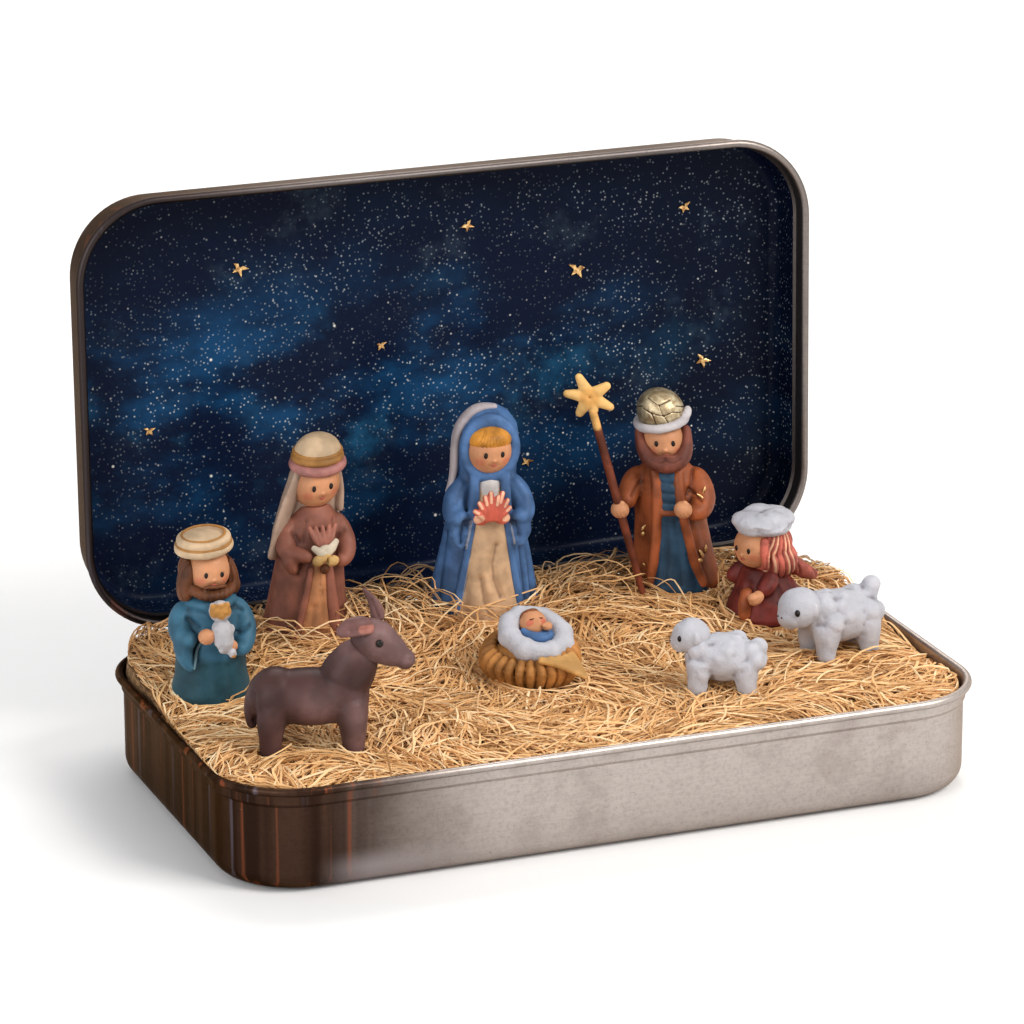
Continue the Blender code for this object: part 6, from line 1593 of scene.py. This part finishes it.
# Painted light: the body turns lighter towards the top.
wear_and_painted_light += np.clip((co[:, 2] - 11.0) / 3.0, 0.0, 1.0)
set_values(body, "tint", 0.25 + 0.4 * np.clip(wear_and_painted_light, 0.0, 1.0))
stand(body, "donkey", "donkey_clay", "donkey_body")
skull = lump("donkey_skull", [
    coil(((0.0, -5.4, 14.4), (0.0, -7.4, 13.7), (0.0, -9.4, 12.4), (0.0, -10.9, 11.5)),
        (2.5, 2.7, 1.9, 1.25), (2.2, 2.3, 1.75, 1.3), (1, 0, 0)),
    ball((0.0, -6.8, 14.1), (2.35, 2.4, 2.4)), ball((0.0, -10.6, 11.6), (1.35, 1.25, 1.2))], 0.14, 12)
for view in ("left", "right"):
    press(skull, (view, ((-7.75, 14.2), (-7.8, 14.15)), 0.5, 0.2),
        (view, ((-11.2, 11.9), (-11.3, 11.8)), 0.2, 0.1),
        (view, ((-11.6, 10.9), (-10.4, 10.9)), 0.12, 0.08))
co = points_of(skull)
# Painted light: the top and front of the head are lighter.
wear_and_painted_light = np.clip((co[:, 2] - 9.6) / 2.4, 0.0, 1.0) * np.clip((-4.2 - co[:, 1]) / 3.0, 0.0, 1.0)
set_values(skull, "tint", 0.25 + 0.42 * wear_and_painted_light)
stand(skull, "donkey", "donkey_clay", "donkey_head")
model("donkey_near_ear", "donkey", "ear_pink", ["donkey_ear_right"], (0.10, 3),
    [coil(((-1.3, -7.0, 15.6), (-2.1, -6.0, 16.4), (-2.7, -4.3, 16.3),
        (-2.7, -3.0, 15.5)), (0.8, 1.25, 1.15, 0.5), (0.6, 0.75, 0.65, 0.4), (-0.8, -0.2, 0.6))],
    grooves=[("left", ((-6.6, 16.1), (-4.6, 16.2)), 0.5, 0.45)],
    rubbed=[("left", ((-6.9, 15.9), (-5.9, 16.1)), 0.45)])
model("donkey_far_ear", "donkey", "ear_pink", ["donkey_ear_left"], (0.09, 3),
    [coil(((1.2, -7.6, 15.7), (1.6, -7.4, 17.4), (1.7, -6.5, 18.8),
        (1.6, -5.9, 19.6)), (0.85, 0.8, 0.5, 0.18), (0.5, 0.5, 0.35, 0.16), (1, 0, 0))],
    grooves=[("left", ((-7.6, 16.4), (-6.9, 18.2)), 0.2, 0.15)])
eyes = join("donkey_eyes", [ball((2.12 * side, -7.8, 14.2), (0.26, 0.42, 0.46)) for side in (-1, 1)])
stand(eyes, "donkey", "eye_clay")
print("donkey done")

# %% [markdown]
# ## The manger
#
# A basket of fat ochre ribs that fan out under a puffy white ring. The ribs are coils laid side by side
# round an oval, and a flat leaf points out at one end. The ring leans back on the ribs, so it looks up
# and forward. In it lies the child's head in a blue wrap.

# %% Basket and ring
RIBS = 26
ribs = [ball((-0.9, -0.2, 3.2), (4.9, 3.5, 2.9))]
for i in range(RIBS):
    a = 2 * math.pi * (i + 0.5) / RIBS
    c, s = math.cos(a), math.sin(a)
    high = 5.6 + 1.2 * s
    ribs.append(coil([(reach * c - 0.9, 0.77 * reach * s - 0.2, z) for reach, z in
        ((3.3, 0.5), (4.7, 1.4), (5.6, 3.0), (5.5, high - 1.0), (4.1, high))],
        (0.34, 0.46, 0.56, 0.55, 0.40), (0.5, 0.6, 0.7, 0.7, 0.5), (c, s, 0.3)))
model("manger_basket_ribs", "manger", "basket_clay", ["manger_basket"], (0.11, 1),
    ribs + [ball((-0.9, -0.2, 0.7), (4.0, 2.9, 0.8))])
model("manger_leaf", "manger", "leaf_clay", [], (0.10, 2),
    [coil(((x, y, 4.9), (0.5 * x + 3.3, 0.5 * y - 1.6, 4.4), (7.0, -3.3, 2.9)),
        (0.6, 0.5, 0.2), (0.45, 0.45, 0.2)) for x, y in ((1.2, -3.9), (2.1, -3.3), (2.9, -2.6), (3.6, -1.8),
            (4.1, -0.9))])
RING = pose((-0.3, 0.2, 6.5), ("Z", 38), ("X", 27), ("Z", -38))
puffs = [ring((0.0, 0.0, 0.0), 3.3, 2.9, 1.35)]
rng = np.random.default_rng(16)
for i in range(8):
    a = 2 * math.pi * i / 8 + rng.uniform(-0.15, 0.15)
    puffs.append(ball((3.35 * math.cos(a), 2.95 * math.sin(a), -0.05), (1.5, 1.5, rng.uniform(1.3, 1.5)),
        (0, 0, math.degrees(a))))
swaddle = lump("manger_white_ring", puffs, 0.15, 12)
dimple(swaddle, 40, 0.7, 0.10, 17)
wrap = lump("manger_blue_wrap", [ball((0.3, 0.0, 0.0), (2.3, 1.9, 0.9)),
    coil(((-1.7, -0.7, 0.7), (-0.3, -1.5, 0.8), (1.3, -1.2, 0.9), (1.9, 0.2, 0.9)), (0.35, 0.55, 0.6, 0.4)),
    coil(((-0.9, -1.0, 0.9), (0.6, -1.3, 1.1), (1.5, -0.4, 1.1)), (0.25, 0.4, 0.3))], 0.10, 3)
for piece in (swaddle, wrap):
    piece.data.transform(RING)
stand(swaddle, "manger", "wool_clay", "manger_swaddle")
stand(wrap, "manger", "mantle_blue")

# %% The child's sleeping head
REST = pose((-0.75, 0.65, 7.7), ("Z", 38), ("X", -42), scale=1.62)
baby = lump("manger_child_head", [ball((0, 0, 0), (1.0, 0.96, 1.0)),
    ball((0.0, -0.95, -0.15), (0.09, 0.09, 0.08))], 0.06, 3)
paint(baby, ("front", ((-0.55, -0.25), (-0.5, -0.25)), 0.22),
    ("front", ((0.55, -0.25), (0.5, -0.25)), 0.22))
curl = lump("manger_child_hair", [ball((0.0, 0.22, 0.2), (1.0, 0.95, 0.98)),
    ball((0.0, -0.25, 0.72), (0.55, 0.5, 0.3))], 0.06, 3)
press(curl, *[(view, ((0.3 * i, 1.1), (0.42 * i, -0.6)), 0.06, 0.05) for view in ("left", "right",
    "back") for i in (-2, -1, 0, 1, 2)])
lids = join("manger_child_lids", [coil(((0.2 * side, -0.955, 0.0), (0.36 * side, -0.93, -0.07),
    (0.52 * side, -0.84, 0.0)), (0.03, 0.045, 0.03))
    for side in (-1, 1)])
for piece in (baby, curl, lids):
    piece.data.transform(REST)
stand(baby, "manger", "skin_clay", "child_head")
stand(curl, "manger", "child_hair")
stand(lids, "manger", "brown_hair")
model("manger_child_hand", "manger", "skin_clay", [], (0.07, 3),
    [ball((1.15, 0.15, 7.7), (0.62, 0.6, 0.55)), ball((0.85, -0.3, 7.9), 0.25)])
print("manger done")

# %% [markdown]
# ## The lambs
#
# Both lambs are white clay, rolled in one piece and pressed with fingertips until it looks woolly. They
# are made by one function with their own sizes, and each has its own dents and way of holding its tail.

# %% Lambs
def lamb(figure, length, girth, head_size, leg, ahead, proud, tail, seed):
    """A woolly lamb that faces its own front, with a round low head."""
    middle = 0.5 * girth + 1.3 * leg
    half = 0.5 * length
    rng = np.random.default_rng(seed)
    crown = Vector((0.0, -0.9 * half - ahead, middle + 0.75 * head_size + proud))
    pieces = [ball((0.0, 0.0, middle), (0.46 * girth, 0.96 * half, 0.47 * girth)),
        coil(((0.0, -0.35 * half, middle + 0.1 * girth),
            crown + Vector((0.0, 0.5, -0.6 - 0.5 * proud))), (0.42 * girth, 0.34 * girth))]
    for side in (-1, 1):
        for end in (-1, 1):
            x, y = 0.27 * side * girth, 0.6 * end * half
            pieces.append(coil(((0.6 * x, 0.85 * y, middle + 0.1), (0.95 * x, y, 0.6 * middle),
                (x, 1.05 * y, 0.05)),
                (1.75 * leg, 1.2 * leg, 0.84 * leg), None, (0, 1, 0), 0.6))
    for _ in range(20):
        a, y = rng.uniform(-0.4, math.pi + 0.4), rng.uniform(-0.7, 0.85)
        out = 0.30 * girth * math.sqrt(1 - 0.6 * y * y)
        pieces.append(ball((out * math.cos(a), y * half, middle + out * math.sin(a)),
            rng.uniform(0.18, 0.235) * girth))
    pieces += [ball((0.0, half + across, middle + up), size) for across, up, size in tail]
    body = lump(figure + "_fleece", pieces, 0.15, 11)
    dimple(body, 120, 0.10 * girth, 0.15, seed + 1)
    dimple(body, 60, 0.06 * girth, 0.10, seed + 3)
    stand(body, figure, "wool_clay", figure + "_body")
    pieces = [ball(crown, (0.92 * head_size, head_size, 0.93 * head_size)),
        ball(crown + head_size * Vector((0.0, -0.48, -0.30)),
            (0.68 * head_size, 0.58 * head_size, 0.62 * head_size))]
    for side in (-1, 1):
        pieces.append(ball(crown + head_size * Vector((0.76 * side, 0.25, 0.0)),
            (0.24 * head_size, 0.24 * head_size, 0.42 * head_size),
            (0, 12 * side, 0)))
    face = lump(figure + "_face", pieces, 0.13, 9)
    dimple(face, 50, 0.30 * head_size, 0.09, seed + 2)
    stand(face, figure, "wool_clay", figure + "_head")
    eyes = [ball(crown + head_size * Vector((0.70 * side, -0.58, 0.04)),
        (0.13 * head_size, 0.11 * head_size, 0.16 * head_size))
        for side in (-1, 1)]
    nose = [ball(crown + head_size * Vector((0.15 * side, -1.03, -0.25)), 0.04 * head_size) for side in (-1,
        1)]
    stand(join(figure + "_eyes", eyes + nose), figure, "eye_clay")


lamb("small_lamb", 9.4, 6.3, 2.35, 1.2, -0.5, 0.9, ((-0.5, 1.2, 1.2), (-0.3, -0.2, 1.0)), 20)
lamb("large_lamb", 10.0, 7.0, 2.75, 1.3, 1.3, -0.1, ((-0.9, 1.6, 1.2), (-0.7, 2.5, 1.25), (-0.6, 3.1, 1.3)),
    30)
print("lambs done")

# %% [markdown]
# ## Hinges, measuring and closing
#
# The two strap hinges keep their CAD shape and only get the plates' finishes. Then the dressed model is
# measured, because it must stay inside the CAD model's box.

# %% Hinge finishes
for side in ("left", "right"):
    for node, plate in (("tray_hinge_leaf_", lid_plate), ("lid_hinge_leaf_", lid_plate),
        ("hinge_pin_", tray_plate)):
        for slot in bpy.data.objects[node + side].material_slots:
            slot.material = plate.material
print("hinges finished")

# %% Sizes and the last line
low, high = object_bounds()
print("visual box:", [round(v, 4) for v in (*low, *high)])
